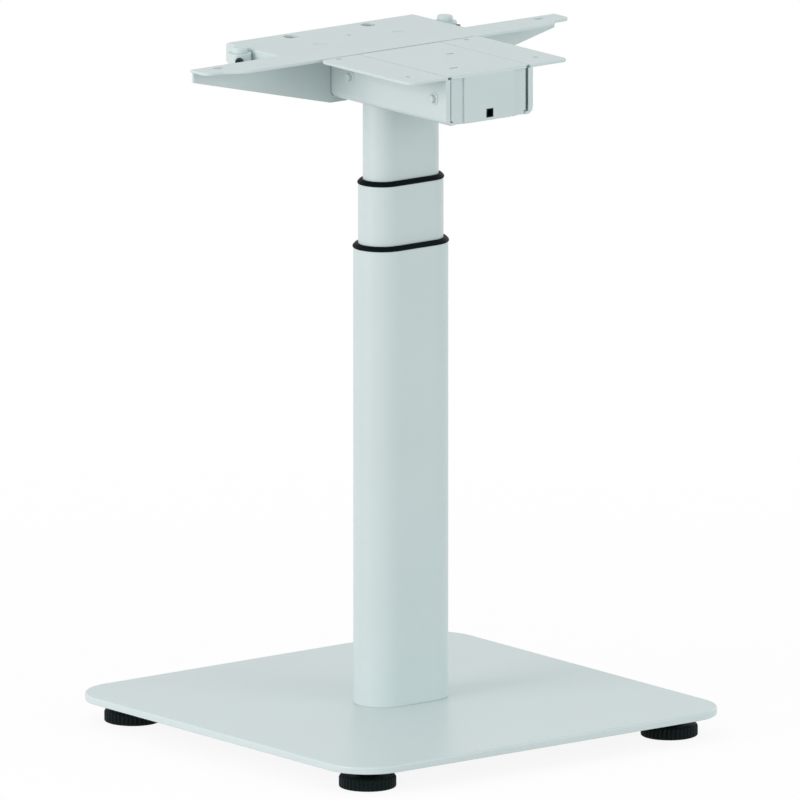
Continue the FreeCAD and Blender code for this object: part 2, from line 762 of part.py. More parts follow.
# Gearbox: a casting on a hub that stands on the channel's floor, held by two ears at the walls
def make_gearbox():
    body = new_body("gearbox_housing")
    block = new_sketch(body, "top", "gearbox_bottom")
    draw_polygon(block, gearbox_corners())
    pad(body, block, "gearbox_top - gearbox_bottom")
    dress(body, "Fillet", "gearbox_corner_radius", upright_at(gearbox_corners()))
    hub = new_sketch(body, "top", "gearbox_bottom")
    draw_circle(hub, "0", "0", "gearbox_hub_radius")
    pad(body, hub, "gearbox_rise", reverse=True)
    ears = new_sketch(body, "front", "-wall_bolt_back - gearbox_ear_width / 2")
    reach = "wall_inner - fit_gap"
    low, high = "wall_bolt_z - gearbox_ear_width / 2", "wall_bolt_z + gearbox_ear_width / 2"
    draw_rectangle(ears, f"-({reach})", reach, low, high)
    pad(body, ears, "gearbox_ear_width")
    cavity = new_sketch(body, "top", "gearbox_top")
    draw_circle(cavity, "0", "0", "wheel_radius + worm_clearance")
    cut(body, cavity, "gearbox_top - wheel_bottom + worm_clearance")
    seat = new_sketch(body, "top", "wheel_bottom")
    draw_circle(seat, "0", "0", "wheel_bearing_radius + fit_gap")
    cut(body, seat, "wheel_level - wheel_bearing_level")
    through = new_sketch(body, "top", "wheel_bottom")
    draw_circle(through, "0", "0", "wheel_bearing_radius - sheet")
    cut(body, through, "wheel_level + overrun")
    worm = new_sketch(body, "front", "gearbox_front + overrun")
    draw_circle(worm, "worm_x", "worm_z", "worm_radius + worm_bore_clearance")
    cut(body, worm, "gearbox_front + gearbox_back - sheet + overrun")
    holes = new_sketch(body, "side", "wall_inner")
    draw_circle(holes, "wall_bolt_back", "wall_bolt_z", "wall_bolt_radius + fit_gap")
    cut(body, holes, "wall_bolt_length")
    far_holes = new_sketch(body, "side", "-wall_inner")
    draw_circle(far_holes, "wall_bolt_back", "wall_bolt_z", "wall_bolt_radius + fit_gap")
    cut(body, far_holes, "wall_bolt_length", reverse=True)
    taps = new_sketch(body, "top", "gearbox_top")
    for x, y in gearbox_screw_places():
        draw_circle(taps, x, y, "gearbox_screw_radius + fit_gap")
    cut(body, taps, "gearbox_screw_length")
    lid = new_body("gearbox_lid")
    cap = new_sketch(lid, "top", "gearbox_top")
    draw_polygon(cap, gearbox_corners())
    pad(lid, cap, "gearbox_lid_thickness")
    dress(lid, "Fillet", "gearbox_corner_radius", upright_at(gearbox_corners()))
    holes = new_sketch(lid, "top", "gearbox_top + gearbox_lid_thickness")
    draw_circle(holes, "0", "0", "wheel_pin_radius + running_clearance")
    for x, y in gearbox_screw_places():
        draw_circle(holes, x, y, "gearbox_screw_radius + fit_gap")
    cut(lid, holes, "gearbox_lid_thickness + overrun")
    screws = new_body("gearbox_screws")
    shanks = new_sketch(screws, "top", "gearbox_top + gearbox_lid_thickness")
    heads = new_sketch(screws, "top", "gearbox_top + gearbox_lid_thickness")
    for x, y in gearbox_screw_places():
        draw_circle(shanks, x, y, "gearbox_screw_radius")
        draw_circle(heads, x, y, "gearbox_screw_head_radius")
    pad(screws, shanks, "gearbox_screw_length", reverse=True)
    pad(screws, heads, "gearbox_screw_head_height")


# Motor: a can flanged to the gearbox's front, its rotor on the same shaft as the worm
def make_motor():
    can = new_body("motor_can")
    shell = new_sketch(can, "front", "motor_back")
    draw_circle(shell, "worm_x", "worm_z", "motor_radius")
    draw_circle(shell, "worm_x", "worm_z", "motor_radius - motor_wall")
    pad(can, shell, "motor_length")
    cap = new_body("motor_end_cap")
    disc = new_sketch(cap, "front", "motor_front")
    draw_circle(disc, "worm_x", "worm_z", "motor_radius")
    draw_circle(disc, "worm_x", "worm_z", "motor_shaft_radius + running_clearance")
    pad(cap, disc, "motor_cap_thickness")
    shaft = new_body("worm_shaft")
    worm = new_sketch(shaft, "front", "-gearbox_back + 2 * sheet")
    draw_circle(worm, "worm_x", "worm_z", "worm_radius")
    pad(shaft, worm, "gearbox_back - 2 * sheet + motor_back")
    spindle = new_sketch(shaft, "front", "motor_back")
    draw_circle(spindle, "worm_x", "worm_z", "motor_shaft_radius")
    pad(shaft, spindle, "motor_length + motor_cap_thickness")
    rotor = new_body("rotor")
    stack = new_sketch(rotor, "front", "motor_back + rotor_gap")
    draw_circle(stack, "worm_x", "worm_z", "rotor_radius")
    draw_circle(stack, "worm_x", "worm_z", "motor_shaft_radius + fit_gap")
    pad(rotor, stack, "rotor_length")


# Motor channel: one folded sheet, a U across the column's top with outward flanges and thin lips at the
# front
def make_motor_channel():
    body = new_body("motor_channel")
    half = "channel_width / 2"
    block = new_sketch(body, "front", "-channel_back")
    draw_rectangle(block, f"-{half}", half, "head_level", "plate_level")
    pad(body, block, "channel_back + channel_front")
    bottom = level_at("head_level")
    long_way = lambda edge: bottom(edge) and edge.BoundBox.YLength > edge.BoundBox.XLength
    dress(body, "Fillet", "channel_bend", long_way)
    trough = new_sketch(body, "front", "-channel_back - overrun")
    draw_rectangle(trough, "-wall_inner", "wall_inner", "head_floor", "plate_level + overrun")
    cut(body, trough, "channel_back + channel_front - channel_lip_sheet + overrun", reverse=True)
    floor = level_at("head_floor")
    inside = lambda edge: floor(edge) and edge.BoundBox.YLength > edge.BoundBox.XLength
    dress(body, "Fillet", "channel_bend - sheet", inside)
    mouth = new_sketch(body, "front", "channel_front + overrun")
    draw_rectangle(mouth, "channel_lip - wall_inner", "wall_inner - channel_lip",
                   "head_floor", "plate_level + overrun")
    cut(body, mouth, "channel_lip_sheet + overrun")
    flanges = new_sketch(body, "top", "plate_level")
    for side in ("", "-"):
        edges = f"{side}wall_inner", f"{side}flange_width / 2"
        draw_rectangle(flanges, *edges, "-channel_front", "flange_back")
    pad(body, flanges, "sheet")
    corners = mirrored([("flange_width / 2", "-channel_front"), ("flange_width / 2", "flange_back")])
    dress(body, "Fillet", "flange_corner_radius", upright_at(corners))
    floor_holes = new_sketch(body, "top", "head_floor")
    draw_circle(floor_holes, "0", "0", "drive_hole_radius")
    for x in ("head_bolt_x", "-head_bolt_x"):
        draw_circle(floor_holes, x, "0", "head_bolt_radius + fit_gap")
    draw_rectangle(floor_holes, "-skirt_reach - cover_skirt_gap", "skirt_reach + cover_skirt_gap",
                   "-channel_front - overrun", "-channel_front + cover_front_wall + cover_skirt_gap")
    cut(body, floor_holes, "sheet + overrun")
    flange_holes = new_sketch(body, "top", "head_top")
    for x in ("flange_hole_x", "-flange_hole_x"):
        draw_circle(flange_holes, x, "-flange_hole_front", "flange_hole_radius")
        draw_circle(flange_holes, x, "-flange_hole_back", "flange_hole_radius")
    cut(body, flange_holes, "sheet + overrun")
    wall_holes = new_sketch(body, "side", f"{half} + overrun")
    draw_circle(wall_holes, "-wall_bolt_front", "wall_bolt_z", "wall_bolt_radius + fit_gap")
    draw_circle(wall_holes, "wall_bolt_back", "wall_bolt_z", "wall_bolt_radius + fit_gap")
    cut(body, wall_holes, "channel_width + 2 * overrun")


# Wall bolts: flanged hexagon bolts through the channel's walls into the cover and the gearbox
def make_wall_bolts():
    body = new_body("wall_bolts")
    half = "channel_width / 2"
    for side, outward in (("", False), ("-", True)):
        for draw, length, inward in (
            (lambda sketch, y: draw_circle(sketch, y, "wall_bolt_z", "wall_bolt_radius"),
             "wall_bolt_length", True),
            (lambda sketch, y: draw_circle(sketch, y, "wall_bolt_z", "wall_bolt_flange_radius"),
             "wall_bolt_flange_height", False),
            (lambda sketch, y: draw_hexagon(sketch, y, "wall_bolt_z", "wall_bolt_head_flats"),
             "wall_bolt_flange_height + wall_bolt_head_height", False),
        ):
            sketch = new_sketch(body, "side", f"{side}{half}")
            draw(sketch, "-wall_bolt_front")
            draw(sketch, "wall_bolt_back")
            pad(body, sketch, length, reverse=outward != inward)


# Motor cover: a folded lid, front and sides that drop between the channel's walls, with a skirt under
# the front that closes off the floor's edge
def make_motor_cover():
    body = new_body("motor_cover")
    half = "cover_width / 2"
    low = "head_floor + cover_floor_gap"
    block = new_sketch(body, "top", low)
    draw_rectangle(block, f"-{half}", half, "-channel_front", "flange_back")
    pad(body, block, f"head_top - ({low})")
    top = level_at("head_top")
    front_top = lambda edge: top(edge) and near(edge.BoundBox.YMax, "-channel_front")
    dress(body, "Fillet", "cover_bend", front_top)
    wings = new_sketch(body, "top", "head_top")
    draw_rectangle(wings, "-wall_inner + lid_seam", "wall_inner - lid_seam",
                   "-channel_front + cover_bend", "flange_back")
    pad(body, wings, "cover_wall", reverse=True)
    hollow = new_sketch(body, "top", low)
    draw_rectangle(hollow, f"-{half} + cover_wall", f"{half} - cover_wall",
                   "-channel_front + cover_front_wall", "flange_back + overrun")
    cut(body, hollow, f"head_top - cover_wall - ({low})", reverse=True)
    skirt = new_sketch(body, "top", low)
    draw_rectangle(skirt, "-skirt_reach", "skirt_reach", "-channel_front", "-channel_front + cover_front_wall")
    pad(body, skirt, f"{low} - head_level", reverse=True)
    steps = new_sketch(body, "front", "channel_front + overrun")
    for side in ("", "-"):
        draw_rectangle(steps, f"{side}panel_width / 2", f"{side}({half} + overrun)",
                       "head_level - overrun", "head_top - cover_bend")
    cut(body, steps, "panel_step + overrun")
    slots = new_sketch(body, "top", "head_top")
    draw_obround(slots, "-lid_slot_front_x", "-lid_slot_front_y", "lid_slot_length", "lid_slot_width")
    draw_obround(slots, "lid_slot_back_x", "-lid_slot_back_y", "lid_slot_length", "lid_slot_width")
    cut(body, slots, "cover_wall + overrun")
    mouth = new_sketch(body, "front", "channel_front + overrun")
    draw_rectangle(mouth, "port_x - port_width / 2 - fit_gap", "port_x + port_width / 2 + fit_gap",
                   "head_floor", "head_floor + port_height + fit_gap")
    cut(body, mouth, "cover_front_wall + 2 * overrun")
    reliefs = new_sketch(body, "front", "channel_front + overrun")
    for place in ("relief_inner_x", "relief_outer_x"):
        draw_circle(reliefs, place, "head_level", "relief_radius")
        draw_circle(reliefs, f"-{place}", "head_level", "relief_radius")
    cut(body, reliefs, "cover_front_wall + 2 * overrun")
    holes = new_sketch(body, "side", f"{half} + overrun")
    draw_circle(holes, "-wall_bolt_front", "wall_bolt_z", "wall_bolt_radius + fit_gap")
    cut(body, holes, "cover_width + 2 * overrun")


# Cable port: a black socket that stands on the channel's floor in the cover's front
def make_cable_port():
    body = new_body("cable_port")
    left, right = "port_x - port_width / 2", "port_x + port_width / 2"
    low, high = "head_floor", "head_floor + port_height"
    shell = new_sketch(body, "front", "channel_front")
    draw_rectangle(shell, left, right, low, high)
    pad(body, shell, "port_depth", reverse=True)
    mouth = new_sketch(body, "front", "channel_front")
    draw_rectangle(mouth, f"{left} + port_wall", f"{right} - port_wall", f"{low} + port_wall",
                   f"{high} - port_wall")
    cut(body, mouth, "port_depth - 2 * port_wall")


# Rear plate: one sheet on the channel's walls, with an arm each side and its other edges folded down
def make_rear_plate():
    body = new_body("rear_plate")
    tip_front = "arm_back - arm_tip_width"
    right_side = [
        ("arm_shoulder", "plate_front"), ("arm_tip_start", tip_front), ("arm_reach", tip_front),
        ("arm_reach", "arm_back"), ("fold_span / 2", "arm_back"), ("fold_span / 2", "fold_back"),
    ]
    left_side = [(f"-{x}", y) for x, y in reversed(right_side)]
    outline = new_sketch(body, "top", "plate_level")
    draw_polygon(outline, right_side + left_side)
    pad(body, outline, "sheet")
    band = [
        ("fold_span / 2", "fold_front"), ("fold_span / 2", "fold_back"),
        ("-fold_span / 2", "fold_back"), ("-fold_span / 2", "fold_front"),
        ("-fold_span / 2 + sheet", "fold_front"), ("-fold_span / 2 + sheet", "fold_back - sheet"),
        ("fold_span / 2 - sheet", "fold_back - sheet"), ("fold_span / 2 - sheet", "fold_front"),
    ]
    walls = new_sketch(body, "top", "plate_level")
    draw_polygon(walls, band)
    pad(body, walls, "fold_depth - sheet", reverse=True)
    dress(body, "Fillet", "arm_tip_radius", upright_at(mirrored([("arm_reach", tip_front)])))
    shoulders = [("arm_shoulder", "plate_front"), ("arm_tip_start", tip_front)]
    dress(body, "Fillet", "arm_shoulder_radius", upright_at(mirrored(shoulders)))
    top = level_at("head_top")
    folded = lambda edge: top(edge) and edge.CenterOfMass.y > value("fold_front")
    dress(body, "Fillet", "fold_bend", folded)
    holes = new_sketch(body, "top", "head_top")
    for side in ("", "-"):
        draw_circle(holes, f"{side}rear_hole_x", "rear_hole_y", "rear_hole_radius")
        draw_obround(holes, f"{side}arm_slot_x", "arm_slot_y", "arm_slot_length", "arm_slot_width")
    draw_circle(holes, "pilot_x", "pilot_y", "pilot_radius")
    cut(body, holes, "sheet + overrun")
    dimples = new_sketch(body, "top", "head_top")
    for side in ("", "-"):
        draw_circle(dimples, f"{side}dimple_x", "dimple_y", "dimple_radius")
    cut(body, dimples, "dimple_depth")


# Gussets: tapered webs on edge under the arms' back edges, with a toe that reaches under the channel
def make_gusset(label, side):
    body = new_body(label)
    root = "channel_width / 2 + gusset_gap"
    floor = "head_level - gusset_toe_gap"
    toe = f"{root} - gusset_toe"
    outline = new_sketch(body, "front", "-arm_back")
    draw_polygon(outline, [
        (f"{side}({root})", "plate_level"), (f"{side}gusset_reach", "plate_level"),
        (f"{side}gusset_reach", "head_top - gusset_tip_depth"),
        (f"{side}({root})", "head_top - gusset_root_depth"),
        (f"{side}({toe})", "head_top - gusset_root_depth"),
        (f"{side}({toe})", floor), (f"{side}({root})", floor),
    ])
    pad(body, outline, "sheet")
    corner = level_at(floor)
    upright = lambda edge: near(abs(edge.BoundBox.XMin), root) and near(abs(edge.BoundBox.XMax), root)
    dress(body, "Fillet", "channel_bend + gusset_gap", lambda edge: corner(edge) and upright(edge))


def primitive(kind, name, sizes, base, rotation=FreeCAD.Rotation()):
    """A basic solid whose sizes and place are formulas."""
    item = doc.addObject("Part::" + kind, name)
    item.Placement = FreeCAD.Placement(FreeCAD.Vector(), rotation)
    for size, formula in sizes.items():
        item.setExpression(size, ref(formula))
    for axis, formula in zip("xyz", base):
        item.setExpression("Placement.Base." + axis, ref(formula))
    return item


def combine(kind, name, members):
    """A boolean of solids: a cut takes the later ones away from the first, a fuse joins them."""
    if kind == "Cut":
        result = doc.addObject("Part::Cut", name)
        result.Base = members[0]
        result.Tool = members[1] if len(members) == 2 else combine("MultiFuse", name + "_tools", members[1:])
        return result
    result = doc.addObject("Part::" + kind, name)
    if kind == "Compound":
        result.Links = members
    else:
        result.Shapes = members
    return result


def add_group(label, members):
    """One sub-part that holds several separate solids."""
    group = combine("Compound", label, members)
    group.Label = label
    SUBPARTS.append(group)


# Bosses: round posts welded to the rear plate's sides, each with a locating pin and a clamping screw
def make_bosses():
    bottom, top = "head_top - boss_bottom_drop", "head_top - boss_top_drop"
    height = f"{top} - ({bottom})"
    up = FreeCAD.Vector(0, 0, 1)
    posts = []
    screws = []
    for side, sign in (("right", "1"), ("left", "-1")):
        x = f"{sign} * boss_x"
        # The screw points forward and outward, square to the boss's wall
        across, along = f"{sign} * sin(boss_screw_angle)", "-cos(boss_screw_angle)"
        aim = FreeCAD.Rotation(up, FreeCAD.Vector(value(across), value(along), 0))

        def screw_place(distance):
            screw_x = f"{x} + ({distance}) * {across}"
            screw_y = f"boss_y + ({distance}) * {along}"
            return screw_x, screw_y, "head_top - boss_screw_drop"

        post = primitive("Cylinder", f"{side}_post", {"Radius": "boss_radius", "Height": height},
                         (x, "boss_y", bottom))
        flat_edge = "fold_span / 2 - boss_radius" if side == "right" else "-fold_span / 2"
        flat = primitive("Box", f"{side}_flat",
                         {"Length": "boss_radius", "Width": "2 * boss_radius", "Height": height},
                         (flat_edge, "boss_y - boss_radius", bottom))
        bore = primitive("Cylinder", f"{side}_bore", {"Radius": "boss_bore_radius", "Height": height},
                         (x, "boss_y", bottom))
        tap = primitive("Cylinder", f"{side}_tap",
                        {"Radius": "boss_screw_radius + fit_gap", "Height": "boss_radius"},
                        screw_place("0"), aim)
        posts.append(combine("Cut", f"{side}_boss", [post, flat, bore, tap]))
        shank = primitive("Cylinder", f"{side}_shank",
                          {"Radius": "boss_screw_radius", "Height": "boss_screw_bite + boss_screw_head_height"},
                          screw_place("boss_radius - boss_screw_bite"), aim)
        head = primitive("Cylinder", f"{side}_head",
                         {"Radius": "boss_screw_head_radius", "Height": "boss_screw_head_height"},
                         screw_place("boss_radius"), aim)
        socket = primitive("Prism", f"{side}_socket",
                           {"Circumradius": "boss_screw_socket_radius", "Height": "boss_screw_head_height"},
                           screw_place("boss_radius + boss_screw_head_height / 2"), aim)
        blank = combine("MultiFuse", f"{side}_blank", [shank, head])
        screws.append(combine("Cut", f"{side}_screw", [blank, socket]))
    add_group("side_bosses", posts)
    add_group("boss_screws", screws)
    caps = new_body("boss_caps")
    discs = new_sketch(caps, "top", top)
    stems = new_sketch(caps, "top", top)
    for x in ("boss_x", "-boss_x"):
        draw_circle(discs, x, "boss_y", "boss_cap_radius")
        draw_circle(stems, x, "boss_y", "boss_bore_radius - fit_gap")
    pad(caps, discs, "boss_top_drop + boss_cap_rise")
    dress(caps, "Chamfer", "boss_cap_chamfer", level_at("head_top + boss_cap_rise"))
    pad(caps, stems, "boss_cap_stem", reverse=True)


STEPS = [
    make_base_plate,
    make_foot_nuts,
    make_column_foot,
    make_fixed_screw,
    make_bearing_block,
    make_hollow_screw,
    make_nut_block,
    make_head_block,
    make_drive_tube,
    make_worm_wheel,
    make_gearbox,
    make_motor,
    make_motor_channel,
    make_wall_bolts,
    make_motor_cover,
    make_cable_port,
    make_rear_plate,
    make_bosses,
]
for step in STEPS:
    step()
for number, (x, y) in enumerate(four_places("foot_place", "foot_place"), start=1):
    make_foot(number, x, y)
make_tube("outer_tube", "column_base", "outer_width", "outer_depth", "outer_length")
make_tube("middle_tube", "middle_bottom", "middle_width", "middle_depth", "middle_length")
make_tube("top_tube", "top_bottom", "top_width", "top_depth", "top_length")
make_collar("lower_collar", "outer_top", "outer_width", "outer_depth", "middle_width", "middle_depth")
make_collar("upper_collar", "middle_top", "middle_width", "middle_depth", "top_width", "top_depth")
make_slider("middle_slider", "middle_bottom", "middle_width", "middle_depth", "outer_width", "outer_depth")
make_slider("top_slider", "top_bottom", "top_width", "top_depth", "middle_width", "middle_depth")
make_gusset("left_gusset", "-")
make_gusset("right_gusset", "")
doc.recompute()

for item in doc.Objects:
    if any(state in ("Invalid", "Error") for state in item.State):
        raise RuntimeError(f"{item.Label} failed: {item.State}")
for part in SUBPARTS:
    if part.Shape.isNull() or not part.Shape.isValid():
        raise RuntimeError(f"{part.Label} has no valid shape")
os.makedirs("parts", exist_ok=True)
for part in SUBPARTS:
    part.Shape.exportStep(f"parts/{part.Label}.step")
print(len(SUBPARTS), "sub-parts written")
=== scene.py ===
import math

import bmesh
import bpy
from mathutils import Matrix, Vector


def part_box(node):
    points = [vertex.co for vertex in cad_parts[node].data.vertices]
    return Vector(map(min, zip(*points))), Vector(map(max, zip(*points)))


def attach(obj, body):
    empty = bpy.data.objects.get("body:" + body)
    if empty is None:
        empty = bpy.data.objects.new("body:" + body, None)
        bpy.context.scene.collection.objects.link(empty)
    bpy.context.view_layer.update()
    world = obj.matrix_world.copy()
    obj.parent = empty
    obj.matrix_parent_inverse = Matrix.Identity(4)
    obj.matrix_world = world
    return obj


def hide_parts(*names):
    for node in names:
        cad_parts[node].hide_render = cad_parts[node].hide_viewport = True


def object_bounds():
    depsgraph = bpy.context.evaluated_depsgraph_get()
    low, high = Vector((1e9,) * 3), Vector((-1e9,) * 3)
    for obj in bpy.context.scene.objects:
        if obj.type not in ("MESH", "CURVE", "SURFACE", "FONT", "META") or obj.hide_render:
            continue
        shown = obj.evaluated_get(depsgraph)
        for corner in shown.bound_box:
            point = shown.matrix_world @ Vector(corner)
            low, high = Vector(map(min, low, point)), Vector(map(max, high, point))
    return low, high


# The frame of a single-column lifting desk, in metres: the floor at zero, the front towards -Y.
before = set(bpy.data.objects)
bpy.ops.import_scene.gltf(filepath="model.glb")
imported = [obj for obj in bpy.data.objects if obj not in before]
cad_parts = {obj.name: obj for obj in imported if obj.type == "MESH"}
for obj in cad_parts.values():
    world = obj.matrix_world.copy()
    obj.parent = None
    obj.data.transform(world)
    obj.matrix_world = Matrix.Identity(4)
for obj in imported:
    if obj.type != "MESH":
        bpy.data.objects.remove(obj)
cad_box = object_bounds()


# Levelling feet: black nylon discs, each moulded with finger ribs round the rim, a flat sole and
# a raised hub. A hand turns them to level the base plate.
def skin(rings):
    """Points and faces of a closed skin over rings that all have the same count of points."""
    count = len(rings[0])
    points = [point for ring in rings for point in ring]
    faces = [tuple(range(count)), tuple(range(len(points) - count, len(points)))]
    for low in range(0, len(points) - count, count):
        for spot in range(count):
            after = (spot + 1) % count
            faces.append((low + spot, low + after, low + count + after, low + count + spot))
    return points, faces


def make_piece(name, skins, crease=40):
    """One object from several skins, its faces turned outward and its edges sharp past the crease angle."""
    points = []
    faces = []
    for skin_points, skin_faces in skins:
        start = len(points)
        points += skin_points
        faces += [tuple(start + spot for spot in face) for face in skin_faces]
    mesh = bpy.data.meshes.new(name)
    mesh.from_pydata(points, [], faces)
    solid = bmesh.new()
    solid.from_mesh(mesh)
    bmesh.ops.recalc_face_normals(solid, faces=solid.faces)
    solid.to_mesh(mesh)
    solid.free()
    mesh.shade_smooth()
    mesh.set_sharp_from_angle(angle=math.radians(crease))
    piece = bpy.data.objects.new(name, mesh)
    bpy.context.collection.objects.link(piece)
    return piece


def fit(piece, body, slot, finish, *nodes):
    """Put a piece on its body, in its finish and in place of the CAD nodes that it stands for."""
    piece.data.materials.clear()
    piece.data.materials.append(finish)
    if nodes:
        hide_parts(*nodes)
    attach(piece, body)


def place(tree, kind, inputs, **settings):
    """A shader node of a kind, its inputs given as plain values or as sockets to link from."""
    node = tree.nodes.new(kind)
    for key, setting in settings.items():
        setattr(node, key, setting)
    for key, value in inputs.items():
        if isinstance(value, bpy.types.NodeSocket):
            tree.links.new(value, node.inputs[key])
        else:
            node.inputs[key].default_value = value
    return node


def new_effect(name, inputs, outputs):
    """An empty node group with named sockets, for an effect that several finishes share."""
    group = bpy.data.node_groups.new(name, "ShaderNodeTree")
    for label, kind, start in inputs:
        socket = group.interface.new_socket(label, in_out="INPUT", socket_type="NodeSocket" + kind)
        socket.default_value = start
    for label, kind in outputs:
        group.interface.new_socket(label, in_out="OUTPUT", socket_type="NodeSocket" + kind)
    return group, group.nodes.new("NodeGroupInput").outputs, group.nodes.new("NodeGroupOutput").inputs


def new_finish(name, **settings):
    """A finish with an empty tree round its shader, and the shader's plain values set on its own sockets."""
    finish = bpy.data.materials.new(name)
    finish.use_nodes = True
    shader = finish.node_tree.nodes["Principled BSDF"]
    for key, value in settings.items():
        shader.inputs[key.replace("_", " ").title().replace("Ior", "IOR")].default_value = value
    return finish, finish.node_tree, shader


# Fine grain of a spark-eroded mould or a blasted casting: a height for the bump and an uneven gloss
fine_grain, given, result = new_effect(
    "fine grain",
    [("Grain size", "Float", 0.001), ("Roughness", "Float", 0.5), ("Spread", "Float", 0.1)],
    [("Height", "Float"), ("Roughness", "Float")],
)
spots = place(fine_grain, "ShaderNodeTexCoord", {}).outputs["Object"]
scale = place(fine_grain, "ShaderNodeMath", {0: 1.0, 1: given["Grain size"]}, operation="DIVIDE").outputs[0]
grain = place(fine_grain, "ShaderNodeTexNoise", {"Vector": spots, "Scale": scale, "Detail": 3.0}).outputs[0]
offset = place(fine_grain, "ShaderNodeMath", {0: grain, 1: 0.5}, operation="SUBTRACT").outputs[0]
gloss = place(fine_grain, "ShaderNodeMath", {0: offset, 1: given["Spread"], 2: given["Roughness"]},
              operation="MULTIPLY_ADD").outputs[0]
fine_grain.links.new(grain, result["Height"])
fine_grain.links.new(gloss, result["Roughness"])

# Slow drift of tone over a surface, from uneven pigment, oil or plating
tone_drift, given, result = new_effect(
    "tone drift",
    [("Colour", "Color", (0.5, 0.5, 0.5, 1)), ("Second colour", "Color", (0.5, 0.5, 0.5, 1)),
     ("Patch size", "Float", 0.1)],
    [("Colour", "Color")],
)
spots = place(tone_drift, "ShaderNodeTexCoord", {}).outputs["Object"]
scale = place(tone_drift, "ShaderNodeMath", {0: 1.0, 1: given["Patch size"]}, operation="DIVIDE").outputs[0]
patches = place(tone_drift, "ShaderNodeTexNoise", {"Vector": spots, "Scale": scale, "Detail": 4.0}).outputs[0]
share = place(tone_drift, "ShaderNodeMapRange",
              {"Value": patches, "From Min": 0.35, "From Max": 0.65}).outputs[0]
mixed = place(tone_drift, "ShaderNodeMix", {0: share, 6: given["Colour"], 7: given["Second colour"]},
              data_type="RGBA").outputs[2]
tone_drift.links.new(mixed, result["Colour"])

# Rubbed edges and painted edge highlight: outside corners made paler, partly where handling has polished them
# and partly as a painted highlight where light catches them, broken up by a noise
rubbed_and_highlit_edges, given, result = new_effect(
    "rubbed edges and painted highlight",
    [("Colour", "Color", (0.5, 0.5, 0.5, 1)), ("Rubbed and highlight colour", "Color", (0.8, 0.8, 0.8, 1)),
     ("Amount", "Float", 0.5)],
    [("Colour", "Color"), ("Mask", "Float")],
)
corner = place(rubbed_and_highlit_edges, "ShaderNodeNewGeometry", {}).outputs["Pointiness"]
spots = place(rubbed_and_highlit_edges, "ShaderNodeTexCoord", {}).outputs["Object"]
breaks = place(rubbed_and_highlit_edges, "ShaderNodeTexNoise",
               {"Vector": spots, "Scale": 160.0, "Detail": 5.0}).outputs[0]
ridge = place(rubbed_and_highlit_edges, "ShaderNodeMapRange",
              {"Value": corner, "From Min": 0.52, "From Max": 0.62}).outputs[0]
broken = place(rubbed_and_highlit_edges, "ShaderNodeMath", {0: ridge, 1: breaks}, operation="MULTIPLY").outputs[0]
mask = place(rubbed_and_highlit_edges, "ShaderNodeMath", {0: broken, 1: given["Amount"]}, operation="MULTIPLY").outputs[0]
mixed = place(rubbed_and_highlit_edges, "ShaderNodeMix", {0: mask, 6: given["Colour"], 7: given["Rubbed and highlight colour"]},
              data_type="RGBA").outputs[2]
rubbed_and_highlit_edges.links.new(mixed, result["Colour"])
rubbed_and_highlit_edges.links.new(mask, result["Mask"])


def worked_finish(name, colour, second, patch_size, rubbed_and_highlight, amount, grain_size, roughness, spread, bump,
                  **settings):
    """A finish of two drifting tones, its corners rubbed and given a painted highlight, with a fine grain and
    an uneven gloss.
    """
    finish, tree, shader = new_finish(name, **settings)
    drift = place(tree, "ShaderNodeGroup", {"Colour": (*colour, 1), "Second colour": (*second, 1),
                                            "Patch size": patch_size}, node_tree=tone_drift)
    edges = place(tree, "ShaderNodeGroup", {"Colour": drift.outputs["Colour"], "Rubbed and highlight colour": (*rubbed_and_highlight, 1),
                                            "Amount": amount}, node_tree=rubbed_and_highlit_edges)
    grain = place(tree, "ShaderNodeGroup", {"Grain size": grain_size, "Roughness": roughness,
                                            "Spread": spread}, node_tree=fine_grain)
    relief = place(tree, "ShaderNodeBump", {"Height": grain.outputs["Height"], "Strength": bump,
                                            "Distance": grain_size / 3})
    tree.links.new(edges.outputs["Colour"], shader.inputs["Base Color"])
    tree.links.new(grain.outputs["Roughness"], shader.inputs["Roughness"])
    tree.links.new(relief.outputs["Normal"], shader.inputs["Normal"])
    return finish


black_nylon = worked_finish(
    "black nylon", colour=(0.003, 0.009, 0.0095), second=(0.005, 0.0115, 0.012), patch_size=0.03,
    rubbed_and_highlight=(0.022, 0.026, 0.027), amount=0.6, grain_size=0.0007, roughness=0.45, spread=0.2, bump=0.25,
    specular_ior_level=0.09,
)

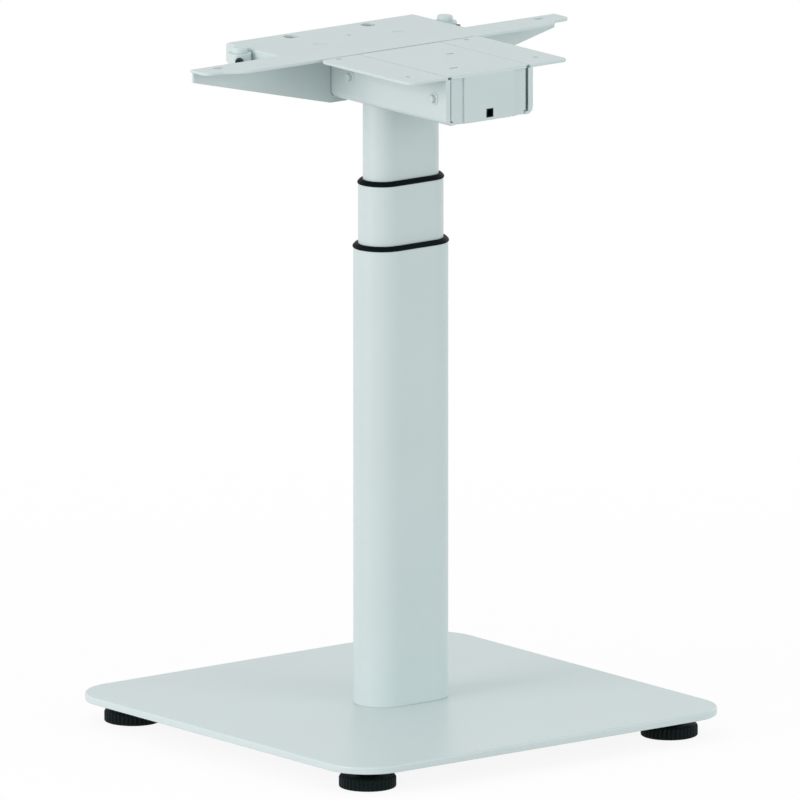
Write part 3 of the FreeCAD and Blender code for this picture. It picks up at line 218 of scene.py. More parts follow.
ribs = 40
rib_points = 8
groove_share = 0.55
hub_rise = 0.001
hub_edge = 0.0002
sole_hollow = 0.0006
rim_round = 0.0012
shoulder = 0.0032
stud_play = 0.0001
for number in range(1, 5):
    low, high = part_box(f"foot_disc_{number}")
    stud_low, stud_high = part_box(f"foot_stud_{number}")
    centre = (low + high) / 2
    radius = (high.x - low.x) / 2
    top = high.z - hub_rise
    bore = (stud_high.x - stud_low.x) / 2 + stud_play
    groove_depth = radius * 0.045
    # Each ring: its radius, its height and how much of the grooves' depth it shows
    profile = [
        (radius * 0.66, low.z + sole_hollow, 0), (radius * 0.70, low.z, 0), (radius * 0.95, low.z, 0),
        (radius * 0.985, low.z + rim_round / 3, 0.5), (radius, low.z + rim_round, 1),
        (radius, top - shoulder, 1), (radius * 0.992, top - shoulder * 0.75, 0.95),
        (radius * 0.965, top - shoulder * 0.34, 0.6), (radius * 0.935, top - shoulder * 0.1, 0.15),
        (radius * 0.9, top, 0), (radius * 0.41, top, 0), (radius * 0.385, top + hub_edge * 1.5, 0),
        (radius * 0.37, high.z - hub_edge, 0), (radius * 0.355, high.z, 0),
        (bore, high.z, 0), (bore, stud_low.z, 0),
    ]
    rings = []
    for reach, height, share in profile:
        ring = []
        for spot in range(ribs * rib_points):
            angle = math.tau * spot / (ribs * rib_points)
            across = abs((spot / rib_points + 0.5) % 1 - 0.5) * 2 / groove_share
            depth = groove_depth * share * math.sqrt(max(0, 1 - across * across))
            ring.append((centre.x + (reach - depth) * math.cos(angle),
                         centre.y + (reach - depth) * math.sin(angle), height))
        rings.append(ring)
    disc = make_piece(f"ribbed_disc_{number}", [skin(rings)])
    fit(disc, f"foot_{number}", "black_plastic", black_nylon, f"foot_disc_{number}")


# Foot studs: M10 steel studs with a rolled thread, zinc plated, pressed into the discs' hubs.
# They screw up and down in the nuts under the plate.
zinc_plate = worked_finish(
    "zinc plate", colour=(0.56, 0.57, 0.58), second=(0.66, 0.655, 0.63), patch_size=0.012,
    rubbed_and_highlight=(0.8, 0.8, 0.8), amount=0.7, grain_size=0.0009, roughness=0.36, spread=0.3, bump=0.15,
    metallic=1.0,
)


def threaded_rod(centre, radius, pitch, low, high):
    """The skin of an upright rod whose radius follows a helix, run out to the root at both ends."""
    around = 32
    rows_per_turn = 8
    depth = pitch * 0.54
    rows = round((high - low) / pitch * rows_per_turn)
    rings = []
    for row in range(rows + 1):
        height = low + (high - low) * row / rows
        run_out = min(1, row / rows_per_turn, (rows - row) / rows_per_turn)
        ring = []
        for spot in range(around):
            turn = spot / around
            crest = min(1, 1.3 * (1 - abs(2 * ((height / pitch - turn) % 1) - 1)))
            reach = radius - depth * (1 - crest * run_out)
            ring.append((centre.x + reach * math.cos(math.tau * turn),
                         centre.y + reach * math.sin(math.tau * turn), height))
        rings.append(ring)
    return skin(rings)


stud_pitch = 0.0015
for number in range(1, 5):
    low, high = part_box(f"foot_stud_{number}")
    rod = threaded_rod((low + high) / 2, (high.x - low.x) / 2, stud_pitch, low.z, high.z)
    stud = make_piece(f"threaded_stud_{number}", [rod], crease=70)
    fit(stud, f"stud_{number}", "zinc_steel", zinc_plate, f"foot_stud_{number}")


# Base plate: one 8 mm steel plate, laser cut with round corners, its edges ground round and the
# whole of it powder coated pale grey-green.
def eased(node, radius, steps=2, crease=28):
    """A copy of a CAD node's solid with every sharp edge rounded, as grinding and paint leave it."""
    same_place = 1e-6
    flat = math.radians(0.2)
    smooth = math.radians(50)
    solid = bmesh.new()
    solid.from_mesh(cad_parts[node].data)
    bmesh.ops.remove_doubles(solid, verts=solid.verts, dist=same_place)
    bmesh.ops.dissolve_limit(solid, angle_limit=flat, verts=solid.verts, edges=solid.edges)
    sharp = [edge for edge in solid.edges
             if edge.is_manifold and edge.calc_face_angle() > math.radians(crease)]
    bmesh.ops.bevel(solid, geom=sharp, offset=radius, segments=steps, profile=0.5, affect="EDGES",
                    clamp_overlap=False, miter_outer="ARC")
    low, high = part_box(node)
    for point in solid.verts:
        point.co = [min(max(value, least), most) for value, least, most in zip(point.co, low, high)]
    mesh = bpy.data.meshes.new(node)
    solid.to_mesh(mesh)
    solid.free()
    for layer in [layer for layer in mesh.attributes if layer.name == "custom_normal"]:
        mesh.attributes.remove(layer)
    mesh.shade_smooth()
    mesh.set_sharp_from_angle(angle=smooth)
    piece = bpy.data.objects.new(f"{node}_eased", mesh)
    bpy.context.collection.objects.link(piece)
    flats = piece.modifiers.new("flat faces", "WEIGHTED_NORMAL")
    flats.keep_sharp = True
    return piece


# Powder coat: the orange peel of baked powder, a slow drift of tone and an uneven satin gloss
powder_skin, given, result = new_effect(
    "powder skin",
    [("Colour", "Color", (0.6, 0.6, 0.6, 1)), ("Peel size", "Float", 0.003), ("Gloss", "Float", 0.4)],
    [("Colour", "Color"), ("Roughness", "Float"), ("Height", "Float")],
)
spots = place(powder_skin, "ShaderNodeTexCoord", {}).outputs["Object"]
scale = place(powder_skin, "ShaderNodeMath", {0: 1.0, 1: given["Peel size"]}, operation="DIVIDE").outputs[0]
peel = place(powder_skin, "ShaderNodeTexNoise", {"Vector": spots, "Scale": scale, "Detail": 1.5}).outputs[0]
cloud = place(powder_skin, "ShaderNodeTexNoise", {"Vector": spots, "Scale": 9.0, "Detail": 3.0}).outputs[0]
speck = place(powder_skin, "ShaderNodeTexVoronoi", {"Vector": spots, "Scale": 700.0}).outputs["Distance"]
shade = place(powder_skin, "ShaderNodeMapRange", {"Value": cloud, "From Min": 0.3, "From Max": 0.7,
                                                  "To Min": 0.985, "To Max": 1.015}).outputs[0]
pale = place(powder_skin, "ShaderNodeVectorMath", {0: given["Colour"], "Scale": shade},
             operation="SCALE").outputs[0]
dull = place(powder_skin, "ShaderNodeMath", {0: cloud, 1: 0.12, 2: -0.06},
             operation="MULTIPLY_ADD").outputs[0]
satin = place(powder_skin, "ShaderNodeMath", {0: dull, 1: given["Gloss"]}, operation="ADD").outputs[0]
height = place(powder_skin, "ShaderNodeMath", {0: speck, 1: 0.12, 2: peel},
               operation="MULTIPLY_ADD").outputs[0]
powder_skin.links.new(pale, result["Colour"])
powder_skin.links.new(satin, result["Roughness"])
powder_skin.links.new(height, result["Height"])


def powder_coat(name, colour, peel_size, gloss, depth):
    """A powder-coat finish with its own tone, peel and gloss, and a painted highlight on its edges."""
    finish, tree, shader = new_finish(name, specular_ior_level=0.5)
    coat = place(tree, "ShaderNodeGroup", {"Colour": colour, "Peel size": peel_size, "Gloss": gloss},
                 node_tree=powder_skin)
    # Painted highlight: the coat's outside edges are mixed to a paler colour, as where light catches them
    edges = place(tree, "ShaderNodeGroup", {"Colour": coat.outputs["Colour"], "Amount": 0.35,
                                            "Rubbed and highlight colour": (0.80, 0.85, 0.85, 1)}, node_tree=rubbed_and_highlit_edges)
    bump = place(tree, "ShaderNodeBump", {"Height": coat.outputs["Height"], "Strength": 0.2,
                                          "Distance": depth})
    tree.links.new(edges.outputs["Colour"], shader.inputs["Base Color"])
    tree.links.new(coat.outputs["Roughness"], shader.inputs["Roughness"])
    tree.links.new(bump.outputs[0], shader.inputs["Normal"])
    return finish


pale_grey_green = (0.592, 0.700, 0.704, 1)
# Painted shade: the plate's coat is a little darker than the same coat on the tubes, for how light falls on
# the plate
plate_shaded_grey_green = (0.570, 0.672, 0.676, 1)
plate_coat_painted_light = powder_coat("plate powder coat with painted shade and highlight", plate_shaded_grey_green, peel_size=0.0030, gloss=0.36, depth=0.0003)

# Painted highlight: the plate's upright edge is made paler than its top, as where light catches the rim
tree = plate_coat_painted_light.node_tree
shader = tree.nodes["Principled BSDF"]
coat_colour = shader.inputs["Base Color"].links[0].from_socket
facing = place(tree, "ShaderNodeTexCoord", {}).outputs["Normal"]
upward = place(tree, "ShaderNodeSeparateXYZ", {"Vector": facing}).outputs["Z"]
level = place(tree, "ShaderNodeMath", {0: upward}, operation="ABSOLUTE").outputs[0]
rim_highlight = place(tree, "ShaderNodeMapRange", {"Value": level, "From Min": 0.3, "From Max": 0.8,
                                              "To Min": 1.14, "To Max": 1.0}).outputs[0]
rim_highlighted = place(tree, "ShaderNodeVectorMath", {0: coat_colour, "Scale": rim_highlight}, operation="SCALE").outputs[0]
tree.links.new(rim_highlighted, shader.inputs["Base Color"])

plate = eased("base_plate", radius=0.0007, steps=3)
fit(plate, "base", "pale_powder_coat", plate_coat_painted_light, "base_plate")


# Foot nuts: M10 hexagon nuts under the plate's corners, each run round with a weld bead. Their steel is
# painted near black as painted shade, for the shadow under the plate.
def hex_ring(flats, limit, height, count=48):
    """A ring of points on a hexagon of a width across flats, its corners turned off to a radius limit."""
    ring = []
    for spot in range(count):
        angle = math.tau * spot / count
        reach = flats / 2 / math.cos((angle + math.pi / 6) % (math.pi / 3) - math.pi / 6)
        ring.append((min(reach, limit) * math.cos(angle), min(reach, limit) * math.sin(angle), height))
    return ring


def circle_ring(radius, height, count=48):
    """A ring of points on a circle."""
    return [(radius * math.cos(math.tau * spot / count), radius * math.sin(math.tau * spot / count), height)
            for spot in range(count)]


def moved(shape, matrix):
    """A skin carried to its place by a matrix."""
    points, faces = shape
    return [tuple(matrix @ Vector(point)) for point in points], faces


def weld_bead(start, end, size):
    """The skin of a short weld bead between two points, with the ripples of the pool along it."""
    run = Vector(end) - Vector(start)
    turn = run.to_track_quat("Z", "Y").to_matrix().to_4x4()
    rows = max(8, round(run.length / size * 3))
    rings = []
    for row in range(rows + 1):
        along = row / rows
        swell = math.sqrt(max(0.02, 1 - abs(2 * along - 1) ** 6))
        ripple = 1 + 0.10 * math.cos(math.pi * row)
        rings.append(circle_ring(size * swell * ripple, run.length * along, 12))
    return moved(skin(rings), Matrix.Translation(start) @ turn)


# Painted shade: the nuts and their weld beads are near black for the shadow under the plate
nut_painted_shade = worked_finish(
    "nut steel painted dark as shade", colour=(0.07, 0.072, 0.075), second=(0.14, 0.135, 0.13), patch_size=0.006,
    rubbed_and_highlight=(0.2, 0.2, 0.2), amount=0.4, grain_size=0.0012, roughness=0.5, spread=0.3, bump=0.3,
    metallic=1.0,
)

low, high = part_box("foot_nuts")
stud_low, stud_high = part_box("foot_stud_1")
nut_flats = (high.y - low.y) - abs(stud_low.y + stud_high.y)
nut_limit = nut_flats / 2 * 1.12
nut_chamfer = 0.0009
nut_edge = 0.0002
thread_share = 1.02
bead = 0.0016
bead_reach = nut_flats / 2 * 1.08
bead_turn = 0.15
skins = []
for number in range(1, 5):
    stud_low, stud_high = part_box(f"foot_stud_{number}")
    centre = (stud_low + stud_high) / 2
    stud_radius = (stud_high.x - stud_low.x) / 2
    spot = Matrix.Translation((centre.x, centre.y, 0))
    nut = skin([
        circle_ring(stud_radius * thread_share, high.z), circle_ring(stud_radius * thread_share, low.z),
        hex_ring(nut_flats, nut_flats / 2 * 0.97, low.z), hex_ring(nut_flats, nut_limit, low.z + nut_chamfer),
        hex_ring(nut_flats, nut_limit, high.z - nut_edge), hex_ring(nut_flats, nut_limit * 0.99, high.z),
    ])
    skins.append(moved(nut, spot))
    corners = [Vector((bead_reach * math.cos(step * math.pi / 3 + bead_turn),
                       bead_reach * math.sin(step * math.pi / 3 + bead_turn), high.z - bead * 0.6))
               for step in range(6)]
    for step in range(0, 6, 2):
        skins.append(moved(weld_bead(corners[step], corners[step + 1], bead), spot))
fit(make_piece("welded_nuts", skins), "base", "zinc_steel", nut_painted_shade, "foot_nuts")


# Column foot and its bolts: a machined steel block in the outer tube's bottom, pulled down on the
# plate by four M8 socket-head bolts from below.
def socket_bolt(centre, shank_radius, head_radius, face, seat, end):
    """The skin of an upright socket-head bolt: its head runs from face to seat, its shank to end."""
    edge_round = 0.0006
    out = 1 if face > seat else -1
    edge = out * edge_round
    socket = face - out * abs(face - seat) / 2
    rings = [
        hex_ring(head_radius, head_radius, socket), hex_ring(head_radius, head_radius, face - edge / 2),
        circle_ring(head_radius * 0.66, face), circle_ring(head_radius - edge_round, face),
        circle_ring(head_radius - edge_round / 3, face - edge / 3), circle_ring(head_radius, face - edge),
        circle_ring(head_radius, seat), circle_ring(shank_radius, seat),
        circle_ring(shank_radius, end + out * shank_radius / 4), circle_ring(shank_radius * 0.8, end),
    ]
    return moved(skin(rings), Matrix.Translation((centre[0], centre[1], 0)))


def paint(finish, *nodes):
    """Give a finish to CAD nodes that keep their own solids."""
    for node in nodes:
        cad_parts[node].material_slots[0].material = finish


low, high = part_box("column_bolts")
plate_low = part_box("base_plate")[0].z
head_radius = 0.0065
shank_radius = 0.004
skins = [
    socket_bolt((across * (high.x - head_radius), along * (high.y - head_radius)), shank_radius, head_radius,
                low.z, plate_low, high.z)
    for across in (1, -1) for along in (1, -1)
]
fit(make_piece("column_bolts_socket", skins), "base", "zinc_steel", zinc_plate, "column_bolts")
paint(zinc_plate, "column_foot")


# Outer tube and lower collar: a drawn flat-oval steel tube, powder coated, with a black nylon guide
# collar pressed into its top end. The collar's sloped lip covers the cut edge.
tube_coat = powder_coat("tube powder coat", pale_grey_green, peel_size=0.0022, gloss=0.40, depth=0.0002)
collar_nylon = worked_finish(
    "collar nylon", colour=(0.0015, 0.005, 0.006), second=(0.0025, 0.0065, 0.0075), patch_size=0.03,
    rubbed_and_highlight=(0.006, 0.010, 0.011), amount=0.3, grain_size=0.0007, roughness=0.5, spread=0.2, bump=0.2,
    specular_ior_level=0.05,
)
tube_edge = 0.0005
collar_edge = 0.0007
fit(eased("outer_tube", tube_edge), "base", "pale_powder_coat", tube_coat, "outer_tube")
fit(eased("lower_collar", collar_edge, steps=3), "base", "black_plastic", collar_nylon, "lower_collar")


# Fixed screw: a rolled steel screw with four starts, standing in the column foot inside the tubes.
# The roots of its thread are a darker brown.
screw_turns, given, result = new_effect(
    "screw turns",
    [("Place", "Vector", (0, 0, 0)), ("Pitch", "Float", 0.004), ("Starts", "Float", 4.0)],
    [("Height", "Float")],
)
axes = place(screw_turns, "ShaderNodeSeparateXYZ", {"Vector": given["Place"]}).outputs
angle = place(screw_turns, "ShaderNodeMath", {0: axes["Y"], 1: axes["X"]}, operation="ARCTAN2").outputs[0]
turn = place(screw_turns, "ShaderNodeMath", {0: angle, 1: math.tau}, operation="DIVIDE").outputs[0]
lag = place(screw_turns, "ShaderNodeMath", {0: turn, 1: given["Starts"]}, operation="MULTIPLY").outputs[0]
climb = place(screw_turns, "ShaderNodeMath", {0: axes["Z"], 1: given["Pitch"]}, operation="DIVIDE").outputs[0]
phase = place(screw_turns, "ShaderNodeMath", {0: climb, 1: lag}, operation="SUBTRACT").outputs[0]
wave = place(screw_turns, "ShaderNodeMath", {0: phase, 1: 0.5}, operation="PINGPONG").outputs[0]
flank = place(screw_turns, "ShaderNodeMapRange", {"Value": wave, "From Min": 0.12, "From Max": 0.38},
              interpolation_type="SMOOTHSTEP").outputs[0]
screw_turns.links.new(flank, result["Height"])


def screw_finish(name, crest, root, pitch, starts, offset=(0, 0, 0), tilt=(0, 0, 0)):
    """A rolled-thread metal: bright crests that dull in patches, darker roots, the turns as a bump."""
    dulled = [0.85 * value for value in crest]
    finish, tree, shader = new_finish(name, metallic=1.0)
    spots = place(tree, "ShaderNodeTexCoord", {}).outputs["Object"]
    upright = place(tree, "ShaderNodeMapping", {"Vector": spots, "Location": offset, "Rotation": tilt})
    turns = place(tree, "ShaderNodeGroup", {"Place": upright.outputs[0], "Pitch": pitch, "Starts": starts},
                  node_tree=screw_turns)
    drift = place(tree, "ShaderNodeGroup", {"Colour": (*crest, 1), "Second colour": (*dulled, 1),
                                            "Patch size": 0.02}, node_tree=tone_drift)
    root_tone = place(tree, "ShaderNodeMix", {0: turns.outputs[0], 6: (*root, 1), 7: drift.outputs[0]},
                   data_type="RGBA")
    grain = place(tree, "ShaderNodeGroup", {"Grain size": 0.001, "Roughness": 0.3, "Spread": 0.2},
                  node_tree=fine_grain)
    bump = place(tree, "ShaderNodeBump", {"Height": turns.outputs[0], "Strength": 1.0, "Distance": pitch / 4})
    tree.links.new(root_tone.outputs[2], shader.inputs["Base Color"])
    tree.links.new(grain.outputs["Roughness"], shader.inputs["Roughness"])
    tree.links.new(bump.outputs[0], shader.inputs["Normal"])
    return finish


screw_pitch = 0.004
screw_starts = 4.0
rolled_screw = screw_finish("rolled screw steel", crest=(0.55, 0.56, 0.57), root=(0.16, 0.14, 0.10),
                            pitch=screw_pitch, starts=screw_starts)
paint(rolled_screw, "fixed_screw")


# Middle stage: the second flat-oval tube with its own collar at the top, and round its lower end a
# pale acetal slider that runs in the outer tube.
fit(eased("middle_tube", tube_edge), "middle", "pale_powder_coat", tube_coat, "middle_tube")
fit(eased("upper_collar", collar_edge, steps=3), "middle", "black_plastic", collar_nylon, "upper_collar")

acetal = worked_finish(
    "pale acetal", colour=(0.70, 0.69, 0.64), second=(0.76, 0.75, 0.71), patch_size=0.04,
    rubbed_and_highlight=(0.82, 0.81, 0.78), amount=0.3, grain_size=0.002, roughness=0.38, spread=0.15, bump=0.1,
    specular_ior_level=0.5, subsurface_weight=0.1,
)
moulded_edge = 0.0004
fit(eased("middle_slider", moulded_edge), "middle", "slider_plastic", acetal, "middle_slider")


# Bearing block, bearing and hollow screw: a die-cast block in the middle tube's lower end seats the
# bearing in which the hollow screw turns. A bronze nut and a cast hexagon bush sit in the screw's ends.
cast_aluminium = worked_finish(
    "cast aluminium", colour=(0.50, 0.51, 0.52), second=(0.60, 0.605, 0.61), patch_size=0.015,
    rubbed_and_highlight=(0.78, 0.78, 0.79), amount=0.8, grain_size=0.0011, roughness=0.5, spread=0.25, bump=0.45,
    metallic=1.0,
)
cast_edge = 0.0004
bush_edge = 0.0003
fit(eased("bearing_block", cast_edge), "middle", "cast_aluminium", cast_aluminium, "bearing_block")
fit(eased("hex_bush", bush_edge), "screw", "cast_aluminium", cast_aluminium, "hex_bush")

bronze = worked_finish(
    "bearing bronze", colour=(0.50, 0.31, 0.13), second=(0.62, 0.42, 0.20), patch_size=0.01,
    rubbed_and_highlight=(0.74, 0.55, 0.30), amount=0.5, grain_size=0.0008, roughness=0.34, spread=0.2, bump=0.15,
    metallic=1.0,
)
paint(bronze, "lower_nut", "upper_nut")
paint(zinc_plate, "screw_bearing")
# The outer thread of the hollow screw is left-handed
hollow_screw_steel = screw_finish("hollow screw steel", crest=(0.50, 0.51, 0.53), root=(0.15, 0.13, 0.10),
                                  pitch=screw_pitch, starts=-screw_starts)
paint(hollow_screw_steel, "hollow_screw")


# Top stage: the inner flat-oval tube, with a slider and a cast nut block at its lower end and a steel
# block at its upper end that two bolts pull up against the motor channel.
fit(eased("top_tube", tube_edge), "head", "pale_powder_coat", tube_coat, "top_tube")
fit(eased("top_slider", moulded_edge), "head", "slider_plastic", acetal, "top_slider")
fit(eased("nut_block", cast_edge), "head", "cast_aluminium", cast_aluminium, "nut_block")
paint(zinc_plate, "tube_head_block")
low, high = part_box("head_bolts")
channel_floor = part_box("gearbox_housing")[0].z
skins = [
    socket_bolt((across * (high.x - head_radius), 0), shank_radius, head_radius, high.z, channel_floor, low.z)
    for across in (1, -1)
]
fit(make_piece("head_bolts_socket", skins), "head", "zinc_steel", zinc_plate, "head_bolts")


# Motor channel: one 3 mm steel sheet folded into a hat section across the column's top, with
# outward flanges at the front for the tabletop's screws. Powder coated like the tubes.
sheet_coat = powder_coat("sheet powder coat", pale_grey_green, peel_size=0.0026, gloss=0.38, depth=0.00025)
sheet_edge = 0.0004
fit(eased("motor_channel", sheet_edge), "head", "pale_powder_coat", sheet_coat, "motor_channel")


# Wall bolts: hexagon bolts with a flange under the head, turned through the channel's walls into the
# cover and the gearbox, and painted over with the channel.
low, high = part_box("wall_bolts")
bolt_flange = 0.0068
bolt_shank = 0.003
bolt_length = 0.014
bolt_flats = 0.008
flange_rise = 0.0012
bolt_top = 0.0054
bolt_tip = 0.0006
bolt_edge = 0.0002
bolt_chamfer = 0.0007
bolt_dish = 0.0006
bolt_corner = bolt_flats / 2 * 1.13
bolt_rings = [
    circle_ring(bolt_shank * 0.8, -bolt_length), circle_ring(bolt_shank, bolt_tip - bolt_length),
    circle_ring(bolt_shank, 0), circle_ring(bolt_flange * 0.97, 0),
    circle_ring(bolt_flange, flange_rise / 3), circle_ring(bolt_flange * 0.98, flange_rise * 2 / 3),
    circle_ring(bolt_flange * 0.80, flange_rise), circle_ring(bolt_flange * 0.72, flange_rise),
    hex_ring(bolt_flats, bolt_corner, flange_rise + bolt_edge),
    hex_ring(bolt_flats, bolt_corner, bolt_top - bolt_chamfer),
    hex_ring(bolt_flats, bolt_corner * 0.95, bolt_top - bolt_edge),
    circle_ring(bolt_flats / 2 * 0.90, bolt_top), circle_ring(bolt_flats / 2 * 0.66, bolt_top),
    circle_ring(bolt_flats / 2 * 0.52, bolt_top - bolt_dish),
]
wall_face = high.x - bolt_top
bolt_height = (low.z + high.z) / 2
skins = []
for side in (1, -1):
    outward = Matrix.Rotation(side * math.pi / 2, 4, "Y")
    for along in (low.y + bolt_flange, high.y - bolt_flange):
        spot = Matrix.Translation((side * wall_face, along, bolt_height))
        skins.append(moved(skin(bolt_rings), spot @ outward))
fit(make_piece("flanged_bolts", skins, crease=32), "head", "pale_powder_coat", sheet_coat, "wall_bolts")


# Gearbox: a die-cast housing that stands over the hole in the channel's floor, its lid held by four
# pan-head screws. The bronze worm wheel inside turns the hexagon drive tube.
for node in ("gearbox_housing", "gearbox_lid"):
    fit(eased(node, radius=0.0006, steps=3), "head", "cast_aluminium", cast_aluminium, node)
low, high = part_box("gearbox_screws")
lid_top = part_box("gearbox_lid")[1].z
pan_radius = 0.0035
pan_shank = 0.002
pan_tip = 0.0008
pan_edge = 0.0005
pan_shoulder = 0.0007
pan_crown = 0.0002
pan_socket = 0.0014
pan_rings = [
    circle_ring(pan_shank * 0.7, low.z), circle_ring(pan_shank, low.z + pan_tip),
    circle_ring(pan_shank, lid_top), circle_ring(pan_radius * 0.97, lid_top),
    circle_ring(pan_radius, lid_top + pan_edge), circle_ring(pan_radius * 0.93, high.z - pan_shoulder),
    circle_ring(pan_radius * 0.72, high.z - pan_crown), circle_ring(pan_radius * 0.45, high.z),
    hex_ring(pan_radius * 0.8, pan_radius, high.z - pan_crown),
    hex_ring(pan_radius * 0.8, pan_radius, high.z - pan_socket),
]
skins = [
    moved(skin(pan_rings), Matrix.Translation((x, y, 0)))
    for x in (low.x + pan_radius, high.x - pan_radius) for y in (low.y + pan_radius, high.y - pan_radius)
]
fit(make_piece("pan_head_screws", skins), "head", "zinc_steel", zinc_plate, "gearbox_screws")
paint(bronze, "worm_wheel")
paint(zinc_plate, "wheel_bearing", "drive_tube")


# Motor: a round steel can flanged to the gearbox's front, closed by an end cap. The worm is cut on the
# motor's own shaft, behind the rotor.
motor_paint = worked_finish(
    "motor black paint", colour=(0.020, 0.021, 0.022), second=(0.032, 0.033, 0.034), patch_size=0.02,
    rubbed_and_highlight=(0.25, 0.25, 0.26), amount=0.6, grain_size=0.0015, roughness=0.35, spread=0.2, bump=0.2,
    specular_ior_level=0.5,
)
fit(eased("motor_can", radius=0.0004), "head", "motor_steel", motor_paint, "motor_can")
fit(eased("motor_end_cap", radius=0.0008, steps=3), "head", "motor_steel", motor_paint, "motor_end_cap")
worm_low, worm_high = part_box("worm_shaft")
worm_axis = (worm_low + worm_high) / 2
worm_pitch = 0.0047
worm_steel = screw_finish("worm steel", crest=(0.56, 0.57, 0.58), root=(0.2, 0.17, 0.11), pitch=worm_pitch,
                          starts=1.0, offset=(-worm_axis.x, worm_axis.z, 0), tilt=(math.pi / 2, 0, 0))
paint(worm_steel, "worm_shaft")

rotor_stack, tree, shader = new_finish("rotor laminations", metallic=1.0, roughness=0.42)
spots = place(tree, "ShaderNodeTexCoord", {}).outputs["Object"]
sheets = place(tree, "ShaderNodeTexWave", {"Vector": spots, "Scale": 320.0, "Distortion": 0.4},
               bands_direction="Y")
tone = place(tree, "ShaderNodeMix",
             {0: sheets.outputs[1], 6: (0.20, 0.19, 0.18, 1), 7: (0.42, 0.41, 0.40, 1)}, data_type="RGBA")
bump = place(tree, "ShaderNodeBump", {"Height": sheets.outputs[1], "Strength": 0.5, "Distance": 0.0002})
tree.links.new(tone.outputs[2], shader.inputs["Base Color"])
tree.links.new(bump.outputs[0], shader.inputs["Normal"])
paint(rotor_stack, "rotor")


# Motor cover: thin steel sheet folded into a lid, a front with a raised panel and two sides. It drops
# between the channel's walls, and its front reaches down over the end of the channel's floor.
cover_coat = powder_coat("cover powder coat", pale_grey_green, peel_size=0.0024, gloss=0.38, depth=0.0002)
fit(eased("motor_cover", radius=0.0003), "head", "pale_powder_coat", cover_coat, "motor_cover")


# Cable port: a square black nylon socket in the foot of the cover's front, with two rows of brass
# contact blades inside.
fit(eased("cable_port", radius=0.0003), "head", "black_plastic", black_nylon, "cable_port")
low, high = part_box("cable_port")
blade_width = 0.0012
blade_height = 0.0006
blade_length = (high.y - low.y) * 0.45
blade_tip = blade_length * 0.15
blade_places = (0.36, 0.64)
port_back_wall = 0.0024
blade_root = high.y - port_back_wall
blade_end = blade_root - blade_length
skins = []
for across in blade_places:
    for up in blade_places:
        x = low.x + (high.x - low.x) * across
        z = low.z + (high.z - low.z) * up
        rings = []
        for y, taper in ((blade_root, 1), (blade_end + blade_tip, 1), (blade_end, 0.45)):
            half_width = blade_width / 2 * taper
            half_height = blade_height / 2 * taper
            rings.append([(x - half_width, y, z - half_height), (x + half_width, y, z - half_height),
                          (x + half_width, y, z + half_height), (x - half_width, y, z + half_height)])
        skins.append(skin(rings))
fit(make_piece("contact_blades", skins), "head", "bronze", bronze)


# Rear plate: one 3 mm sheet that lies on the channel's walls, with an arm to each side and holes for
# the tabletop's screws. Behind the arms its sides and its back edge are folded down.
fit(eased("rear_plate", sheet_edge), "head", "pale_powder_coat", sheet_coat, "rear_plate")


# Gussets: tapered sheet webs on edge under the arms, each with a toe that reaches under the channel.
# Short welds along the back stitch them to the arms, painted over.
stitch_count = 4
stitch = 0.016
stitch_gap = 0.026
stitch_size = 0.0014
first_stitch = 0.075
seam_drop = 0.0004
for side, node in ((1, "right_gusset"), (-1, "left_gusset")):
    fit(eased(node, sheet_edge), "head", "pale_powder_coat", sheet_coat, node)
    low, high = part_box(node)
    seam_height = high.z - seam_drop
    skins = []
    for step in range(stitch_count):
        start = first_stitch + step * (stitch + stitch_gap)
        ends = [(side * reach, high.y, seam_height) for reach in (start, start + stitch)]
        skins.append(weld_bead(*ends, stitch_size))
    beads = make_piece(f"{node}_welds", skins, crease=80)
    fit(beads, "head", "pale_powder_coat", sheet_coat)


# Bosses: turned steel posts welded to the rear plate's folds. Each holds a short pin that stands proud
# to locate the tabletop, clamped by a black socket screw in its side.
fit(eased("side_bosses", radius=0.0005), "head", "pale_powder_coat", sheet_coat, "side_bosses")
fit(eased("boss_caps", radius=0.0004), "head", "pale_powder_coat", sheet_coat, "boss_caps")
black_oxide = worked_finish(
    "black oxide steel", colour=(0.014, 0.020, 0.022), second=(0.026, 0.036, 0.038), patch_size=0.004,
    rubbed_and_highlight=(0.30, 0.36, 0.37), amount=0.7, grain_size=0.0008, roughness=0.4, spread=0.2, bump=0.2,
    metallic=1.0,
)
fit(eased("boss_screws", radius=0.0003), "head", "black_steel", black_oxide, "boss_screws")


# Studio: a pale paper floor that runs on into a white background, a soft sky and three large soft
# lamps, the strongest low on the left and weaker ones in front and on the right.
def seen_rays(tree):
    """One for the rays that show a surface to the camera, straight, mirrored or through glass."""
    rays = place(tree, "ShaderNodeLightPath", {}).outputs
    mirrored = place(tree, "ShaderNodeMath", {0: rays["Is Camera Ray"], 1: rays["Is Glossy Ray"]},
                     operation="MAXIMUM").outputs[0]
    return place(tree, "ShaderNodeMath", {0: mirrored, 1: rays["Is Transmission Ray"]},
                 operation="MAXIMUM").outputs[0]


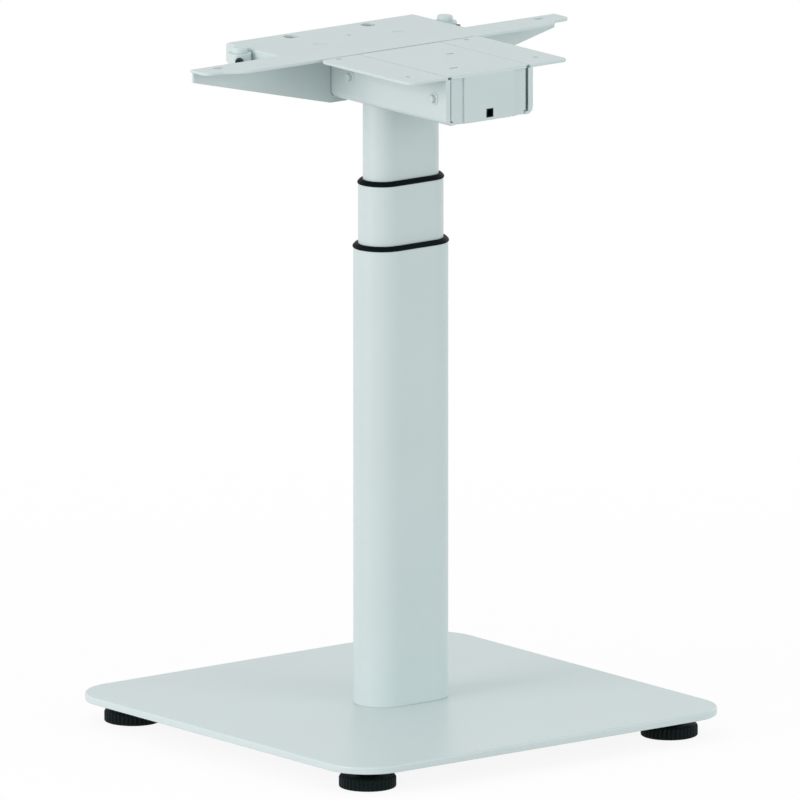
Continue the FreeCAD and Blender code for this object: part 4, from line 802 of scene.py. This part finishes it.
floor_size = 60.0
floor_gap = 0.0003
bpy.ops.mesh.primitive_plane_add(size=floor_size, location=(0, 0, cad_box[0].z - floor_gap))
floor = bpy.context.object
floor.name = "studio_floor"
paper = bpy.data.materials.new("floor paper")
paper.use_nodes = True
tree = paper.node_tree
tree.nodes.clear()
seen = seen_rays(tree)
spots = place(tree, "ShaderNodeTexCoord", {}).outputs["Object"]
reach = place(tree, "ShaderNodeVectorMath", {0: spots}, operation="LENGTH").outputs["Value"]
paleness = place(tree, "ShaderNodeMapRange", {"Value": reach, "From Min": 0.5, "From Max": 1.8,
                                              "To Min": 0.90, "To Max": 1.0}).outputs[0]
share = place(tree, "ShaderNodeMath", {0: seen, 1: paleness}, operation="MULTIPLY").outputs[0]
tone = place(tree, "ShaderNodeMapRange", {"Value": seen, "To Min": 0.55, "To Max": 1.0}).outputs[0]
matt = place(tree, "ShaderNodeBsdfDiffuse", {"Color": tone}).outputs[0]
white = place(tree, "ShaderNodeEmission", {"Color": (1, 1, 1, 1), "Strength": 1.0}).outputs[0]
mixed = place(tree, "ShaderNodeMixShader", {0: share, 1: matt, 2: white}).outputs[0]
place(tree, "ShaderNodeOutputMaterial", {"Surface": mixed})
floor.data.materials.append(paper)

world = bpy.data.worlds.new("studio sky")
bpy.context.scene.world = world
world.use_nodes = True
tree = world.node_tree
tree.nodes.clear()
level = place(tree, "ShaderNodeMapRange",
              {"Value": seen_rays(tree), "To Min": 0.72, "To Max": 1.0}).outputs[0]
sky = place(tree, "ShaderNodeBackground", {"Color": (1, 1, 1, 1), "Strength": level}).outputs[0]
place(tree, "ShaderNodeOutputWorld", {"Surface": sky})

# Each lamp: its name, the way towards it, its power in watts and its colour
white_light = (1.0, 1.0, 1.0)
warm_light = (1.0, 0.91, 0.90)
lamps = (
    ("left_lamp", (-0.96, 0.06, 0.26), 76.0, warm_light),
    ("front_lamp", (0.35, -0.90, 0.15), 36.0, white_light),
    ("right_lamp", (0.90, 0.35, 0.25), 11.0, white_light),
)
aim = Vector((0, 0, 0.4))
lamp_distance = 4.0
lamp_width = 2.4
for name, way, power, colour in lamps:
    lamp = bpy.data.lights.new(name, "AREA")
    lamp.shape = "DISK"
    lamp.size = lamp_width
    lamp.energy = power
    lamp.color = colour
    lamp_object = bpy.data.objects.new(name, lamp)
    bpy.context.collection.objects.link(lamp_object)
    lamp_object.location = aim + Vector(way).normalized() * lamp_distance
    lamp_object.rotation_euler = (aim - lamp_object.location).to_track_quat("-Z", "Y").to_euler()

# Camera: from the front left and a little above, through a very long lens from far off, so that the
# sight lines are almost parallel, as the photo shows the desk.
camera = bpy.data.cameras.new("camera")
camera.lens = 1600.0
azimuth = math.radians(-38)
elevation = math.radians(11.98)
view_width = 0.8358
view_height = 0.3504
view_offset = -0.0008
back = Vector((math.sin(azimuth) * math.cos(elevation), -math.cos(azimuth) * math.cos(elevation),
               math.sin(elevation)))
right = Vector((math.cos(azimuth), math.sin(azimuth), 0))
centre = Vector((0, 0, view_height)) + right * view_offset
camera_distance = view_width * camera.lens / camera.sensor_width
camera_object = bpy.data.objects.new("camera", camera)
bpy.context.collection.objects.link(camera_object)
camera_object.location = centre + back * camera_distance
camera_object.rotation_euler = (-back).to_track_quat("-Z", "Y").to_euler()
camera.clip_end = 2 * camera_distance
bpy.context.scene.camera = camera_object
bpy.context.scene.view_settings.view_transform = "Standard"
